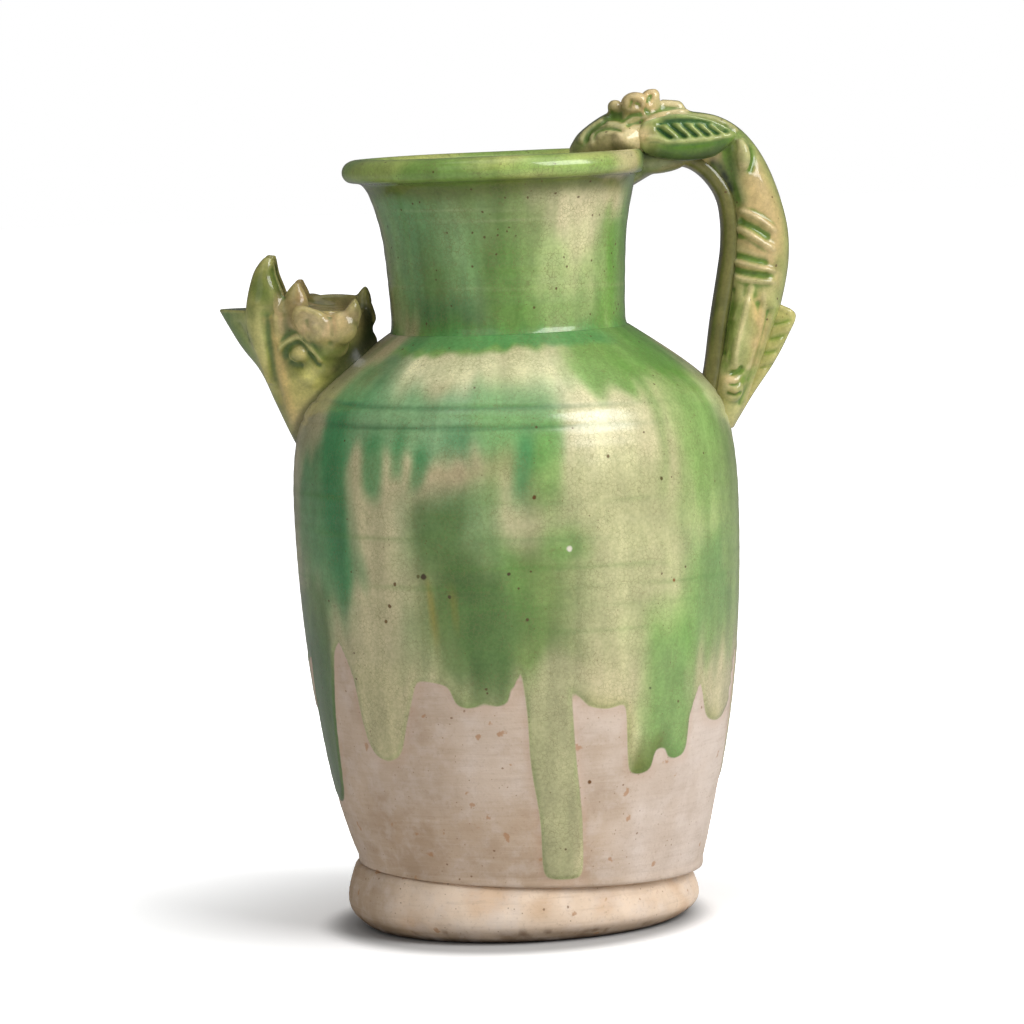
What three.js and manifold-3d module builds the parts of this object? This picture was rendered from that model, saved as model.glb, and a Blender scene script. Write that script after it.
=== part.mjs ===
// A lead-glazed earthenware ewer with a dragon-head spout and a dragon handle.
// Millimetres, +Z up. The origin lies on the axis of the thrown vessel, in the plane of its flat base.
// The spout points along -X and the handle stands along +X. The left side of the beasts is -Y.

import * as THREE from 'three';
import { mergeVertices } from 'three/addons/utils/BufferGeometryUtils.js';
import Module from 'manifold-3d';

const wasm = await Module();
wasm.setup();

// Slip-filled gap that every luted piece keeps to what carries it.
const seatGap = 0.3;

// The turned foot: a solid slab with a rolled edge, luted on a little off centre and out of level.
const footHeight = 18.2;
const footBaseRadius = 54;
const footRollRadius = 58.4;
const footRollHeight = 8.3;
const footSeatRadius = 55.5;
const footOffset = 2.8;
const footLean = THREE.MathUtils.degToRad(3);

// The thrown body. The belly and the shoulder are measured from the top of the foot, and the mouth
// from the shoulder.
const bodyBaseRadius = 57.2;
const bodyBaseBand = 2.8;
const bellyRadius = 73.6;
const bellyRise = 121.2;
const shoulderRadius = 69.6;
const shoulderRise = 151.8;
const shoulderWidth = 30.1;
const mouthRise = 26.2;
const bodyWall = 5.6;
const floorThickness = 7;
const leanFade = 22;
const grooveDepth = 0.7;
const grooveWidth = 2.4;
const grooveSpacing = 5.6;

// The thrown neck with its rolled lip, measured from the mouth that it stands on.
const neckWaist = 0.7;
const neckFlare = 4.9;
const neckWall = 5.2;
const neckHeight = 57.5;
const lipReach = 8.6;
const lipThickness = 8.2;
const lipRoll = 4.5;

// Side views of both beasts are drawn in steps of this size.
const drawnUnit = 1;

// The spout: its channel through the shoulder, and the widths of the beast's head.
const channelRadius = 6.5;
const spoutHalfWidth = 15.5;
const tuskHalfWidth = 3.8;
const tuskSpread = 11.5;
const toothHalfWidth = 2.6;
const flangeHalfWidth = 3.4;
const flangeSpread = 16.6;
const combHalfWidth = 2.6;
const spoutEyeRadius = 2.6;
const browRadius = 1.2;

// The handle is drawn for a vessel whose rim stands this far above its shoulder, and this far inside it.
// On the present vessel it is stretched to fit between the two.
const handleRise = 84 * drawnUnit;
const handleLean = -16.6 * drawnUnit;
const strapHalfWidth = 11;
const strapThickness = 5;
const beastHalfWidth = 10.6;
const headHalfWidth = 12.6;
const crestHalfWidth = 5.2;
const earStubHalfWidth = 3;
const earFinHalfWidth = 3.7;
const forelegHalfWidth = 2.6;
const hindLegHalfWidth = 3.4;
const tailHalfWidth = 4.6;
const beastEyeRadius = 4.8;
const pupilRadius = 1.4;
const nostrilRadius = 2.4;
const clawRadius = 4.4;
const ribRadius = 1.5;
const wrinkleRadius = 0.9;
const notchRadius = 1.1;
const notchCount = 6;
const tailGrooveRadius = 1;

// Levels that follow from the sizes above.
const bodyBase = footHeight + seatGap;
const bellyHeight = footHeight + bellyRise;
const shoulderHeight = footHeight + shoulderRise;
const grooveHeights = [shoulderHeight - 0.5 * grooveSpacing, shoulderHeight + 0.5 * grooveSpacing];
const mouthHeight = shoulderHeight + mouthRise;
const mouthRadius = shoulderRadius - shoulderWidth;
const neckBase = mouthHeight + seatGap;
const neckWaistRadius = mouthRadius - neckWaist;
const neckFlareRadius = mouthRadius + neckFlare;
const rimHeight = neckBase + neckHeight;
const lipRadius = neckFlareRadius + lipReach;

const turnSegments = 36;
const left = -1;
const right = 1;

const clay = {
  foot: { color: 0xd9c2a6, roughness: 0.85 },
  body: { color: 0x8fae7c, roughness: 0.3 },
  neck: { color: 0x7fa568, roughness: 0.25 },
  spout: { color: 0x9aa25c, roughness: 0.25 },
  spoutTrim: { color: 0xc2b07c, roughness: 0.25 },
  strap: { color: 0x8c9058, roughness: 0.3 },
  beast: { color: 0xb9a673, roughness: 0.28 },
  beastTrim: { color: 0x7d9a55, roughness: 0.25 },
};

// Makes a solid of a closed geometry, turned so that its faces point out.
function solidOf(geometry) {
  const bare = geometry.clone();
  bare.deleteAttribute('normal');
  bare.deleteAttribute('uv');
  const merged = mergeVertices(bare, 1e-4);
  const positions = merged.attributes.position;
  const corners = [0, 1, 2].map(() => new THREE.Vector3());
  const triangles = [];
  let volume = 0;
  for (let i = 0; i < merged.index.count; i += 3) {
    const face = [0, 1, 2].map((k) => merged.index.getX(i + k));
    if (face[0] === face[1] || face[1] === face[2] || face[2] === face[0]) continue;
    corners.forEach((corner, k) => corner.fromBufferAttribute(positions, face[k]));
    volume += corners[0].dot(corners[1].clone().cross(corners[2]));
    triangles.push(face);
  }
  if (volume < 0) triangles.forEach((face) => face.reverse());
  return new wasm.Manifold(new wasm.Mesh({
    numProp: 3,
    vertProperties: new Float32Array(positions.array),
    triVerts: new Uint32Array(triangles.flat()),
  }));
}

// Turns a closed profile of [radius, height] points about the Z axis.
function turned(profile, reshape = (point) => point) {
  const geometry = new THREE.LatheGeometry(profile.map(([r, z]) => new THREE.Vector2(r, z)), turnSegments);
  geometry.rotateX(Math.PI / 2);
  const positions = geometry.attributes.position;
  const point = new THREE.Vector3();
  for (let i = 0; i < positions.count; i += 1) {
    reshape(point.fromBufferAttribute(positions, i));
    positions.setXYZ(i, point.x, point.y, point.z);
  }
  return solidOf(geometry);
}

// Samples a profile curve, moved sideways along its normal: outwards for a positive distance.
function besideCurve(curve, count, distance) {
  return Array.from({ length: count + 1 }, (unused, i) => {
    const point = curve.getPoint(i / count);
    const along = curve.getTangent(i / count);
    return [point.x + along.y * distance, point.y - along.x * distance];
  });
}

// Moves a level out of true by the lean of the foot joint.
function lean(point, share) {
  point.z -= share * Math.tan(footLean) * point.x;
  return point;
}

function footSolid() {
  const profile = [
    [0, 0],
    [footBaseRadius, 0],
    [footRollRadius, footRollHeight],
    [(footRollRadius + footSeatRadius) / 2 + 0.6, (footRollHeight + footHeight) / 2],
    [footSeatRadius, footHeight],
    [0, footHeight],
  ];
  return turned(profile, (point) => {
    point.x -= footOffset;
    return lean(point, point.z / footHeight);
  });
}

const lowerWall = new THREE.CubicBezierCurve(
  new THREE.Vector2(bodyBaseRadius, bodyBase + bodyBaseBand),
  new THREE.Vector2(bodyBaseRadius + 0.38 * (bellyRadius - bodyBaseRadius), bodyBase + 0.19 * bellyRise),
  new THREE.Vector2(bellyRadius, bellyHeight - 0.45 * bellyRise),
  new THREE.Vector2(bellyRadius, bellyHeight),
);
const upperWall = new THREE.CubicBezierCurve(
  new THREE.Vector2(bellyRadius, bellyHeight),
  new THREE.Vector2(bellyRadius, bellyHeight + 0.34 * (shoulderHeight - bellyHeight)),
  new THREE.Vector2(shoulderRadius + 3, shoulderHeight - 0.3 * (shoulderHeight - bellyHeight)),
  new THREE.Vector2(shoulderRadius, shoulderHeight),
);
const shoulder = new THREE.CubicBezierCurve(
  new THREE.Vector2(shoulderRadius, shoulderHeight),
  new THREE.Vector2(
    shoulderRadius - 0.1 * (shoulderRadius - mouthRadius),
    shoulderHeight + 0.29 * (mouthHeight - shoulderHeight),
  ),
  new THREE.Vector2(
    shoulderRadius - 0.45 * (shoulderRadius - mouthRadius),
    shoulderHeight + 0.57 * (mouthHeight - shoulderHeight),
  ),
  new THREE.Vector2(mouthRadius, mouthHeight),
);

// Cuts an incised ring into a profile of rising points, at a height where the wall is bare.
function withGroove(profile, height) {
  const radiusAt = (level) => {
    const above = profile.findIndex((point) => point[1] > level);
    const [low, high] = [profile[above - 1], profile[above]];
    return THREE.MathUtils.mapLinear(level, low[1], high[1], low[0], high[0]);
  };
  const [bottom, top] = [height - grooveWidth / 2, height + grooveWidth / 2];
  return [
    ...profile.filter((point) => point[1] < bottom),
    [radiusAt(bottom), bottom],
    [radiusAt(height) - grooveDepth, height],
    [radiusAt(top), top],
    ...profile.filter((point) => point[1] > top),
  ];
}

// The outer profile of the body from its base to its mouth.
function bodyProfile(grow) {
  return [
    [0, bodyBase - grow],
    [bodyBaseRadius + grow, bodyBase - grow],
    ...besideCurve(lowerWall, 7, grow),
    ...besideCurve(upperWall, 4, grow).slice(1),
    ...besideCurve(shoulder, 7, grow).slice(1),
  ];
}

function leanBody(point) {
  const share = THREE.MathUtils.clamp((bodyBase + leanFade - point.z) / leanFade, 0, 1);
  return lean(point, share);
}

function bodySolid(channel) {
  const outside = grooveHeights.reduce(withGroove, bodyProfile(0));
  const inside = [
    ...besideCurve(shoulder, 4, -bodyWall).reverse(),
    ...besideCurve(upperWall, 2, -bodyWall).reverse().slice(1),
    ...besideCurve(lowerWall, 5, -bodyWall).reverse().slice(1, -1),
  ];
  inside[0] = [mouthRadius - neckWall, mouthHeight];
  const floorRadius = bodyBaseRadius - 2 * bodyWall;
  const floorHeight = bodyBase + floorThickness;
  const profile = [...outside, ...inside, [floorRadius, floorHeight], [0, floorHeight]];
  return turned(profile, leanBody).subtract(channel);
}

// The whole outer form of the body, grown by the gap that luted pieces keep to it.
const bodyForm = {
  solid: (grow) => turned([...bodyProfile(grow), [0, mouthHeight]], leanBody),
};

// The neck's profile, outside first and then down the bore.
function neckOutside(grow) {
  const flareRise = neckHeight - lipThickness - 3;
  const waistRise = 0.11 * neckHeight;
  const wall = new THREE.SplineCurve([
    new THREE.Vector2(mouthRadius, neckBase),
    new THREE.Vector2(neckWaistRadius, neckBase + waistRise),
    new THREE.Vector2(neckWaistRadius + 0.9, neckBase + 0.45 * flareRise),
    new THREE.Vector2(neckWaistRadius + 2.2, neckBase + 0.75 * flareRise),
    new THREE.Vector2(neckFlareRadius, neckBase + flareRise),
  ]);
  return [
    ...besideCurve(wall, 6, grow),
    [neckFlareRadius + 2.4 + grow, rimHeight - lipThickness - grow],
    [lipRadius - 1.6 + grow, rimHeight - lipThickness + 0.4 - grow],
    [lipRadius + grow, rimHeight - lipRoll],
    [lipRadius - 0.5 + grow, rimHeight - 0.45 * lipRoll],
    [lipRadius - 2.4 + grow, rimHeight - 0.6 + grow],
    [lipRadius - 5 + grow, rimHeight + grow],
  ];
}

function neckInside(grow) {
  const bore = mouthRadius - neckWall - grow;
  return [
    [lipRadius - 7.6 - grow, rimHeight - 1 + grow],
    [neckFlareRadius - 3.6 - grow, rimHeight - 6.5],
    [neckWaistRadius - 2.4 - grow, rimHeight - 0.3 * neckHeight],
    [bore + 0.4, rimHeight - 0.55 * neckHeight],
    [bore, neckBase - grow],
  ];
}

function neckSolid(grow) {
  const profile = [...neckOutside(grow), ...neckInside(grow)];
  return turned([...profile, profile[0]]);
}

// The neck as a ring and, for pieces that stay outside it, as a full form.
const neckRing = { solid: neckSolid };
const neckForm = {
  solid: (grow) => turned([[0, neckBase - grow], ...neckOutside(grow), [0, rimHeight + grow]]),
};

// Side-view points of the spout are [outwards, upwards] from the shoulder on its side, in drawn units.
function onSpout([out, up]) {
  return new THREE.Vector3(-shoulderRadius - out * drawnUnit, 0, shoulderHeight + up * drawnUnit);
}

// Side-view points of the handle are [outwards, upwards] from the shoulder on its side, in drawn units.
function onHandle([out, up]) {
  const share = (up * drawnUnit) / handleRise;
  const pull = share * (lipRadius - shoulderRadius - handleLean);
  const rise = share * (rimHeight - shoulderHeight);
  return new THREE.Vector3(shoulderRadius + out * drawnUnit + pull, 0, shoulderHeight + rise);
}

// Closes a stack of equal rings of points into one solid, with a fan over each end.
function stackedRings(rings) {
  const around = rings[0].length;
  const points = rings.flat();
  const faces = [];
  for (let i = 0; i + 1 < rings.length; i += 1) {
    for (let j = 0; j < around; j += 1) {
      const here = i * around + j;
      const next = i * around + (j + 1) % around;
      faces.push(here, next, next + around, here, next + around, here + around);
    }
  }
  [0, rings.length - 1].forEach((end) => {
    const centre = new THREE.Vector3();
    rings[end].forEach((point) => centre.addScaledVector(point, 1 / around));
    points.push(centre);
    for (let j = 0; j < around; j += 1) {
      const edge = [end * around + j, end * around + (j + 1) % around];
      if (end === 0) edge.reverse();
      faces.push(...edge, points.length - 1);
    }
  });
  const geometry = new THREE.BufferGeometry().setFromPoints(points);
  geometry.setIndex(faces);
  return solidOf(geometry);
}

const rounded = (value, power) => Math.sign(value) * Math.abs(value) ** power;

// A form modelled between two edges that are drawn in side view. Each station gives a point of the
// inner edge, a point of the outer edge, the share of the half width there and, where the form leaves
// its middle plane, how far out it stands. A curve runs through them all.
// square below 1 fills the section's corners out, and beak draws its outer side to a point.
function betweenEdges(place, halfWidth, stations, options = {}) {
  const { middle = 0, steps = 8, around = 10, square = 1, beak = 0 } = options;
  const edges = [0, 1].map((edge) => new THREE.CatmullRomCurve3(stations.map((station) => (
    place(station[edge]).setY(edge === 0 ? halfWidth * station[2] : station[3] ?? middle)))));
  const section = (t, grow) => {
    const [inner, outer] = edges.map((edge) => edge.getPoint(t));
    const width = inner.y + grow;
    const centre = inner.clone().add(outer).multiplyScalar(0.5).setY(outer.y);
    const along = outer.sub(inner).setY(0);
    const half = along.length() / 2 + grow;
    return { centre, along: along.normalize(), half, width };
  };
  const ring = (t, grow) => {
    const { centre, along, half, width } = section(t, grow);
    return Array.from({ length: around }, (unused, j) => {
      const angle = (2 * Math.PI * (j + 0.5)) / around;
      const power = square * (Math.cos(angle) > 0 ? 1 + beak * t : 1);
      const point = centre.clone().addScaledVector(along, half * rounded(Math.cos(angle), square));
      point.y += width * rounded(Math.sin(angle), power);
      return point;
    });
  };
  const solid = (grow) => {
    const rings = Array.from({ length: steps + 1 }, (unused, i) => ring(i / steps, grow));
    [[0, 1], [steps, steps - 1]].forEach(([end, beside]) => {
      const outwards = section(end / steps, 0).centre.sub(section(beside / steps, 0).centre).normalize();
      rings[end].forEach((point) => point.addScaledVector(outwards, grow));
    });
    return stackedRings(rings);
  };
  // The half width of the form at a point of its side view.
  const widthAt = (point) => {
    const target = place(point);
    let best = { miss: Infinity, reach: 0 };
    for (let i = 0; i <= 240; i += 1) {
      const { centre, along, half, width } = section(i / 240, 0);
      const offset = target.clone().sub(centre).setY(0);
      const share = Math.abs(offset.dot(along)) / half;
      const miss = Math.abs(offset.x * along.z - offset.z * along.x);
      if (share <= 1 && miss < best.miss) {
        best = { miss, reach: width * (1 - share ** (2 / square)) ** (square / 2) };
      }
    }
    return best.reach;
  };
  return { solid, widthAt };
}

// A roll of clay laid along points of the side view, at a given distance to one side. Its radius
// follows the given shares along the path.
function roll(place, path, radius, shares, side, distanceAt, around = 8) {
  const curve = new THREE.CatmullRomCurve3(path.map((point) => place(point).setY(side * distanceAt(point))));
  const steps = 2 * (path.length - 1);
  const across = new THREE.Vector3(0, 1, 0);
  return {
    solid: (grow) => stackedRings(Array.from({ length: steps + 1 }, (unused, i) => {
      const t = i / steps;
      const along = curve.getTangent(t);
      const first = along.clone().cross(across).normalize();
      const second = along.clone().cross(first).normalize();
      const k = Math.min(Math.floor(t * (shares.length - 1)), shares.length - 2);
      const share = THREE.MathUtils.lerp(shares[k], shares[k + 1], t * (shares.length - 1) - k);
      const reach = radius * share + grow;
      return Array.from({ length: around }, (empty, j) => {
        const angle = (2 * Math.PI * j) / around;
        return curve.getPoint(t)
          .addScaledVector(first, reach * Math.cos(angle))
          .addScaledVector(second, reach * Math.sin(angle));
      });
    })),
  };
}

// A pellet of clay: a ball, pressed to the given shape, about a point of the side view.
function pellet(place, point, radius, shape, distance) {
  const centre = place(point);
  return {
    solid: (grow) => {
      const geometry = new THREE.SphereGeometry(1, 12, 8);
      geometry.rotateX(Math.PI / 2);
      geometry.scale(...shape.map((share) => radius * share + grow));
      geometry.translate(centre.x, distance, centre.z);
      return solidOf(geometry);
    },
  };
}

// The piece itself, without the crumbs that a cut can leave beside it.
function withoutCrumbs(solid) {
  return solid.decompose().reduce((piece, crumb) => (crumb.volume() > piece.volume() ? crumb : piece));
}

// Seats a form on its carriers: they are cut away from it with the slip gap between.
function seated(form, ...carriers) {
  const cut = (solid, carrier) => solid.subtract(carrier.solid(seatGap));
  return withoutCrumbs(carriers.reduce(cut, form.solid(0)));
}

// The channel by which the spout pours, from inside the shoulder to above the open jaws.
const boreShare = channelRadius / spoutHalfWidth;
const channelForm = betweenEdges(onSpout, spoutHalfWidth, [
  [[-26.2, 0.6], [-17, -8.6], boreShare],
  [[-14.2, 12.6], [-5, 3.4], boreShare],
  [[-9.6, 23], [4.9, 14.5], 1.15 * boreShare],
  [[-18.6, 28], [13.4, 26], 0.64],
  [[-19.6, 35.5], [21.4, 36.5], 0.78],
  [[-19.6, 42], [22.4, 43], 0.8],
], { steps: 10, around: 14, square: 0.95, beak: 0.5 });

// The beast's head with its upturned jaws, from the shoulder to the pouring lip.
const spoutForm = betweenEdges(onSpout, spoutHalfWidth, [
  [[-36.6, 14], [-3.6, -20], 0.76],
  [[-27.5, 20], [2.9, -7.8], 0.8],
  [[-25, 24.5], [8.3, 4.6], 0.84],
  [[-23.8, 28.5], [12.9, 15.4], 0.9],
  [[-23.2, 31.5], [19.3, 24.5], 0.97],
  [[-22.6, 34.5], [25.9, 36.6], 1],
], { steps: 10, around: 22, square: 0.95, beak: 0.6 });

// A horn that rises from the cheek beside the pouring lip and curls back at its tip.
function tuskForm(side) {
  return betweenEdges(onSpout, tuskHalfWidth, [
    [[6.6, 9.6], [7.8, 8.6], 0.26, side * 0.66 * tuskSpread],
    [[8, 19], [12.6, 18], 0.58, side * 0.86 * tuskSpread],
    [[8.6, 28], [16.2, 28], 0.79, side * 0.96 * tuskSpread],
    [[7, 35.5], [16.4, 35.5], 1],
    [[5.2, 41.5], [15.4, 41.5], 0.95],
    [[6, 47], [13.4, 48], 0.79],
    [[6.2, 50.5], [11.4, 51.3], 0.58],
    [[6.6, 53], [9.4, 53.4], 0.21],
  ], { middle: side * tuskSpread, steps: 12, around: 10 });
}

// A small pointed tooth on the edge of the jaw, behind the horn.
function toothForm(side) {
  return betweenEdges(onSpout, toothHalfWidth, [
    [[-5, 33.5], [3.6, 33.5], 1],
    [[-4.4, 37], [3, 37.5], 1],
    [[-3.6, 40.5], [2.4, 41], 0.77],
    [[-1.6, 44.6], [0.8, 44.4], 0.27],
  ], { middle: side * 0.86 * spoutHalfWidth, steps: 6, around: 8 });
}

// The ear flange beside the jaws. The far one was pressed on a little higher and further back.
function flangeForm(side) {
  const raised = side === right ? 2.6 : 0;
  const drawn = [
    [[0.6, 31], [1.6, 34], 0.24],
    [[-1.2, 26.5], [0.2, 36.6], 0.65],
    [[-4.4, 23], [-2.6, 36.9], 0.82],
    [[-8.4, 20.6], [-8.5, 34.9], 0.94],
    [[-12, 19.6], [-12.4, 33], 1],
    [[-15.4, 20], [-16, 35], 0.94],
    [[-18.4, 23], [-19.6, 38.5], 0.71],
    [[-20.4, 28], [-21.2, 36.4], 0.41],
    [[-21, 31.6], [-21.8, 33.4], 0.18],
  ];
  const place = ([out, up]) => onSpout([out - raised, up + raised]);
  const options = { middle: side * flangeSpread, steps: 12, around: 8, square: 0.9 };
  return betweenEdges(place, flangeHalfWidth, drawn, options);
}

// The lobed comb down the back of the head, towards the neck.
const combForm = betweenEdges(onSpout, combHalfWidth, [
  [[-20.5, 20.5], [-25.9, 20.6], 0.62],
  [[-20, 24.8], [-26, 24.6], 0.92],
  [[-20, 28], [-24.7, 28], 0.85],
  [[-20, 31.5], [-26, 31.3], 1],
  [[-19.8, 35.4], [-25.2, 35.2], 0.92],
  [[-20.4, 38.8], [-23.9, 38.8], 0.62],
  [[-21.8, 41.4], [-23.2, 41.6], 0.27],
], { steps: 12, around: 8 });

const spoutEyePoint = [-0.5, 20.9];

function spoutEyeForm(side) {
  const distance = spoutForm.widthAt(spoutEyePoint) - 0.12 * spoutEyeRadius;
  return pellet(onSpout, spoutEyePoint, spoutEyeRadius, [1, 0.77, 1], side * distance);
}

// The angled brow over the eye.
function browForm(side) {
  const path = [[5.8, 22.7], [2.3, 25.2], [-0.9, 26], [-4.2, 22.3], [-7.2, 18.2]];
  return roll(onSpout, path, browRadius, [0.42, 0.92, 1, 0.92, 0.42], side, spoutForm.widthAt);
}

// The inner strap of the handle, from under the lip to the shoulder.
const strapDepth = strapThickness / drawnUnit;
const strapForm = betweenEdges(onHandle, strapHalfWidth, [
  [[-28.6, 70.5], [-29.6, 75.5], 1],
  [[-24.6, 72.8], [-26.1, 78], 1],
  [[-18.5, 75.9], [-19.6, 75.9 + strapDepth], 1],
  [[-12.1, 77.7], [-12.1, 77.7 + strapDepth], 1],
  [[-5.4, 74.3], [-5.4 + 0.55 * strapDepth, 74.3 + strapDepth], 1],
  [[-0.1, 67], [-0.1 + 0.8 * strapDepth, 67 + 0.6 * strapDepth], 1],
  [[1.3, 59.1], [1.3 + strapDepth, 60], 1],
  [[1.1, 50.5], [1.1 + strapDepth, 50.5], 1],
  [[-0.1, 42.9], [-0.1 + strapDepth, 42.3], 1],
  [[-3.3, 26.3], [-3.3 + strapDepth, 25.3], 1],
  [[-5.7, 11.5], [-5.7 + strapDepth, 10.5], 1],
  [[-8.6, -2], [-8.6 + strapDepth, -3], 1],
], { steps: 22, around: 12, square: 0.5 });

// The beast's body, laid over the strap from the rim to the shoulder.
const beastForm = betweenEdges(onHandle, beastHalfWidth, [
  [[-15.3, 81.4], [-15.3, 95], 1],
  [[-11.6, 82.4], [-8.8, 95.3], 1],
  [[-3.6, 79.8], [2.4, 93], 1],
  [[2, 74], [11.1, 86.7], 0.98],
  [[5.2, 66], [18, 75.6], 1],
  [[6.2, 56], [23, 59.4], 1],
  [[6, 44], [23.6, 46], 1],
  [[4, 33], [20.8, 32], 0.94],
  [[1, 20], [16.9, 21], 0.94],
  [[-1, 8], [11.9, 8], 0.92],
  [[-2.5, 0], [8.4, -0.6], 0.78],
  [[-2, -9], [3.2, -9.8], 0.45],
], { steps: 22, around: 16, square: 0.85 });

// The beast's head, which bites the rim: the snout reaches over the lip into the mouth of the ewer.
const headForm = betweenEdges(onHandle, headHalfWidth, [
  [[-47.4, 82.5], [-47, 85.2], 0.3],
  [[-45, 79.5], [-44, 89.4], 0.6],
  [[-39.6, 78.8], [-38.3, 93.6], 0.8],
  [[-33.6, 78.8], [-33.1, 96], 0.92],
  [[-26.6, 79.6], [-26.1, 96.8], 1],
  [[-19.6, 80.4], [-19.6, 95.8], 1],
  [[-15.6, 81.2], [-15.6, 95.2], 0.9],
], { steps: 10, around: 16, square: 0.85 });

// The furrows of the snout: one up its side to the nostril, and one about the corner of the mouth.
const furrowPaths = [
  [[-42.4, 86], [-40.6, 89.6], [-37.4, 92.8], [-34.4, 94.6]],
  [[-38.6, 84.6], [-38.6, 88], [-36.6, 90.6], [-33, 92]],
];

function furrows(side) {
  return furrowPaths.map((path) => (
    roll(onHandle, path, wrinkleRadius, [0.7, 1, 1, 0.7], side, headForm.widthAt, 6)));
}

function beastEyeForm(side) {
  return pellet(onHandle, [-24.9, 98], beastEyeRadius, [1, 0.71, 0.83], side * 0.62 * headHalfWidth);
}

// The punched pupil, sunk from the outside into the eye.
function pupilForm(side) {
  const path = [[-24.6, 98.4], [-24.5, 98.5]];
  return roll(onHandle, path, pupilRadius, [1, 1], side, (point) => (
    headHalfWidth * (point === path[0] ? 0.72 : 1.2)));
}

function nostrilForm(side) {
  return pellet(onHandle, [-31.6, 97.8], nostrilRadius, [1, 0.92, 0.92], side * 0.36 * headHalfWidth);
}

// The stub of an ear behind the eye.
function earStubForm(side) {
  return betweenEdges(onHandle, earStubHalfWidth, [
    [[-23.4, 93.6], [-17.4, 93], 0.93],
    [[-23.8, 98.6], [-17.2, 98.2], 1],
    [[-22.4, 101.6], [-17, 101.4], 0.8],
    [[-20.8, 102.8], [-18.2, 103], 0.33],
  ], { middle: side * 0.4 * headHalfWidth, steps: 6, around: 8 });
}

// The squared crest between the ears.
const crestForm = betweenEdges(onHandle, crestHalfWidth, [
  [[-16.6, 93.6], [-16.6, 99.4], 1],
  [[-13.4, 93.6], [-13.4, 99.1], 1],
  [[-10.4, 93.4], [-10.2, 98.5], 0.96],
  [[-8.8, 93.6], [-8.6, 96.4], 0.77],
], { steps: 5, around: 12, square: 0.5 });

// The long ribbed ear fin, swept back along the neck of the beast.
function earFinForm(side) {
  return betweenEdges(onHandle, earFinHalfWidth, [
    [[-25.4, 84.8], [-27.4, 88.2], 0.38],
    [[-21.5, 81.6], [-22.8, 91.8], 0.78],
    [[-14, 79.6], [-14, 94], 1],
    [[-7, 79.2], [-7, 93.6], 1],
    [[0, 80.3], [0, 91.8], 0.84],
    [[4.8, 83.8], [4.4, 89.4], 0.51],
    [[7.6, 86.8], [7.3, 87.4], 0.14],
  ], { middle: side * 1.04 * beastHalfWidth, steps: 12, around: 10, square: 0.9 });
}

// The slanting notches that leave the pale ribs of the ear fin standing.
function earNotches(side) {
  const fin = earFinForm(side);
  return Array.from({ length: notchCount }, (unused, i) => {
    const foot = [-15.8 + 3.9 * i, 87 + 0.12 * i];
    const tip = [foot[0] - 3.2, foot[1] + 4.6 - 0.42 * i];
    const depth = (point) => 1.055 * beastHalfWidth + fin.widthAt(point);
    return roll(onHandle, [foot, tip], notchRadius, [1, 0.8], side, depth, 6);
  });
}

function forelegForm(side) {
  return betweenEdges(onHandle, forelegHalfWidth, [
    [[7.2, 85], [8.8, 85.4], 0.38],
    [[6.2, 80.6], [11.4, 82], 1],
    [[6.6, 76.8], [11.2, 77.6], 0.96],
    [[7.6, 73.6], [9.4, 73.8], 0.35],
  ], { middle: side * 0.925 * beastHalfWidth, steps: 6, around: 8 });
}

// The four ribs laid across the flank of the beast.
const ribPaths = [
  [[10.1, 60.8], [14.4, 59.4], [18, 55.9]],
  [[7.8, 55.8], [12.2, 54.6], [16.3, 51.4]],
  [[6.6, 44.7], [12, 43.6], [17.4, 41.7]],
  [[6.8, 39.8], [12.2, 38.9], [17.6, 37.4]],
];

function ribForm(path, side) {
  return roll(onHandle, path, ribRadius, [0.33, 1, 1, 0.33], side, beastForm.widthAt);
}

function hindLegForm(side) {
  return betweenEdges(onHandle, hindLegHalfWidth, [
    [[6.3, 36.2], [11.6, 34.8], 0.35],
    [[4.8, 31], [12.9, 30.6], 0.85],
    [[2.2, 24], [11.9, 23], 1],
    [[0.6, 16], [9.4, 16], 0.94],
    [[0.8, 9.8], [7, 9.2], 0.59],
  ], { middle: side * 0.945 * beastHalfWidth, steps: 9, around: 10 });
}

function clawForm(side) {
  return pellet(onHandle, [3, 3.4], clawRadius, [0.82, 0.77, 1], side * 0.87 * beastHalfWidth);
}

// The ribbed tail fin down the back of the handle's foot.
const tailForm = betweenEdges(onHandle, tailHalfWidth, [
  [[17.4, 29.4], [20.4, 30.4], 0.43],
  [[16.2, 26], [25.2, 26.9], 0.74],
  [[14.4, 20], [22.4, 20], 0.91],
  [[11, 11], [17.2, 11], 1],
  [[6, 1], [10, 1], 1],
  [[1, -9], [3.2, -9.6], 0.57],
], { steps: 12, around: 8, square: 0.7 });

function tailGrooves(side) {
  return [25, 20.5, 16, 11.5].map((up) => {
    const outer = [0.62 * up + 8.6, up - 0.4];
    const inner = [outer[0] - 5, up - 1.6];
    const depth = (point) => 0.6 * tailGrooveRadius + tailForm.widthAt(point);
    return roll(onHandle, [inner, outer], tailGrooveRadius, [0.8, 1], side, depth, 6);
  });
}

function cutAll(solid, forms) {
  return forms.reduce((rest, form) => rest.subtract(form.solid(0)), solid);
}

// A group whose pieces are kept in its own frame.
function assembly(x, z) {
  const group = new THREE.Group();
  group.position.set(x, 0, z);
  return group;
}

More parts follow.
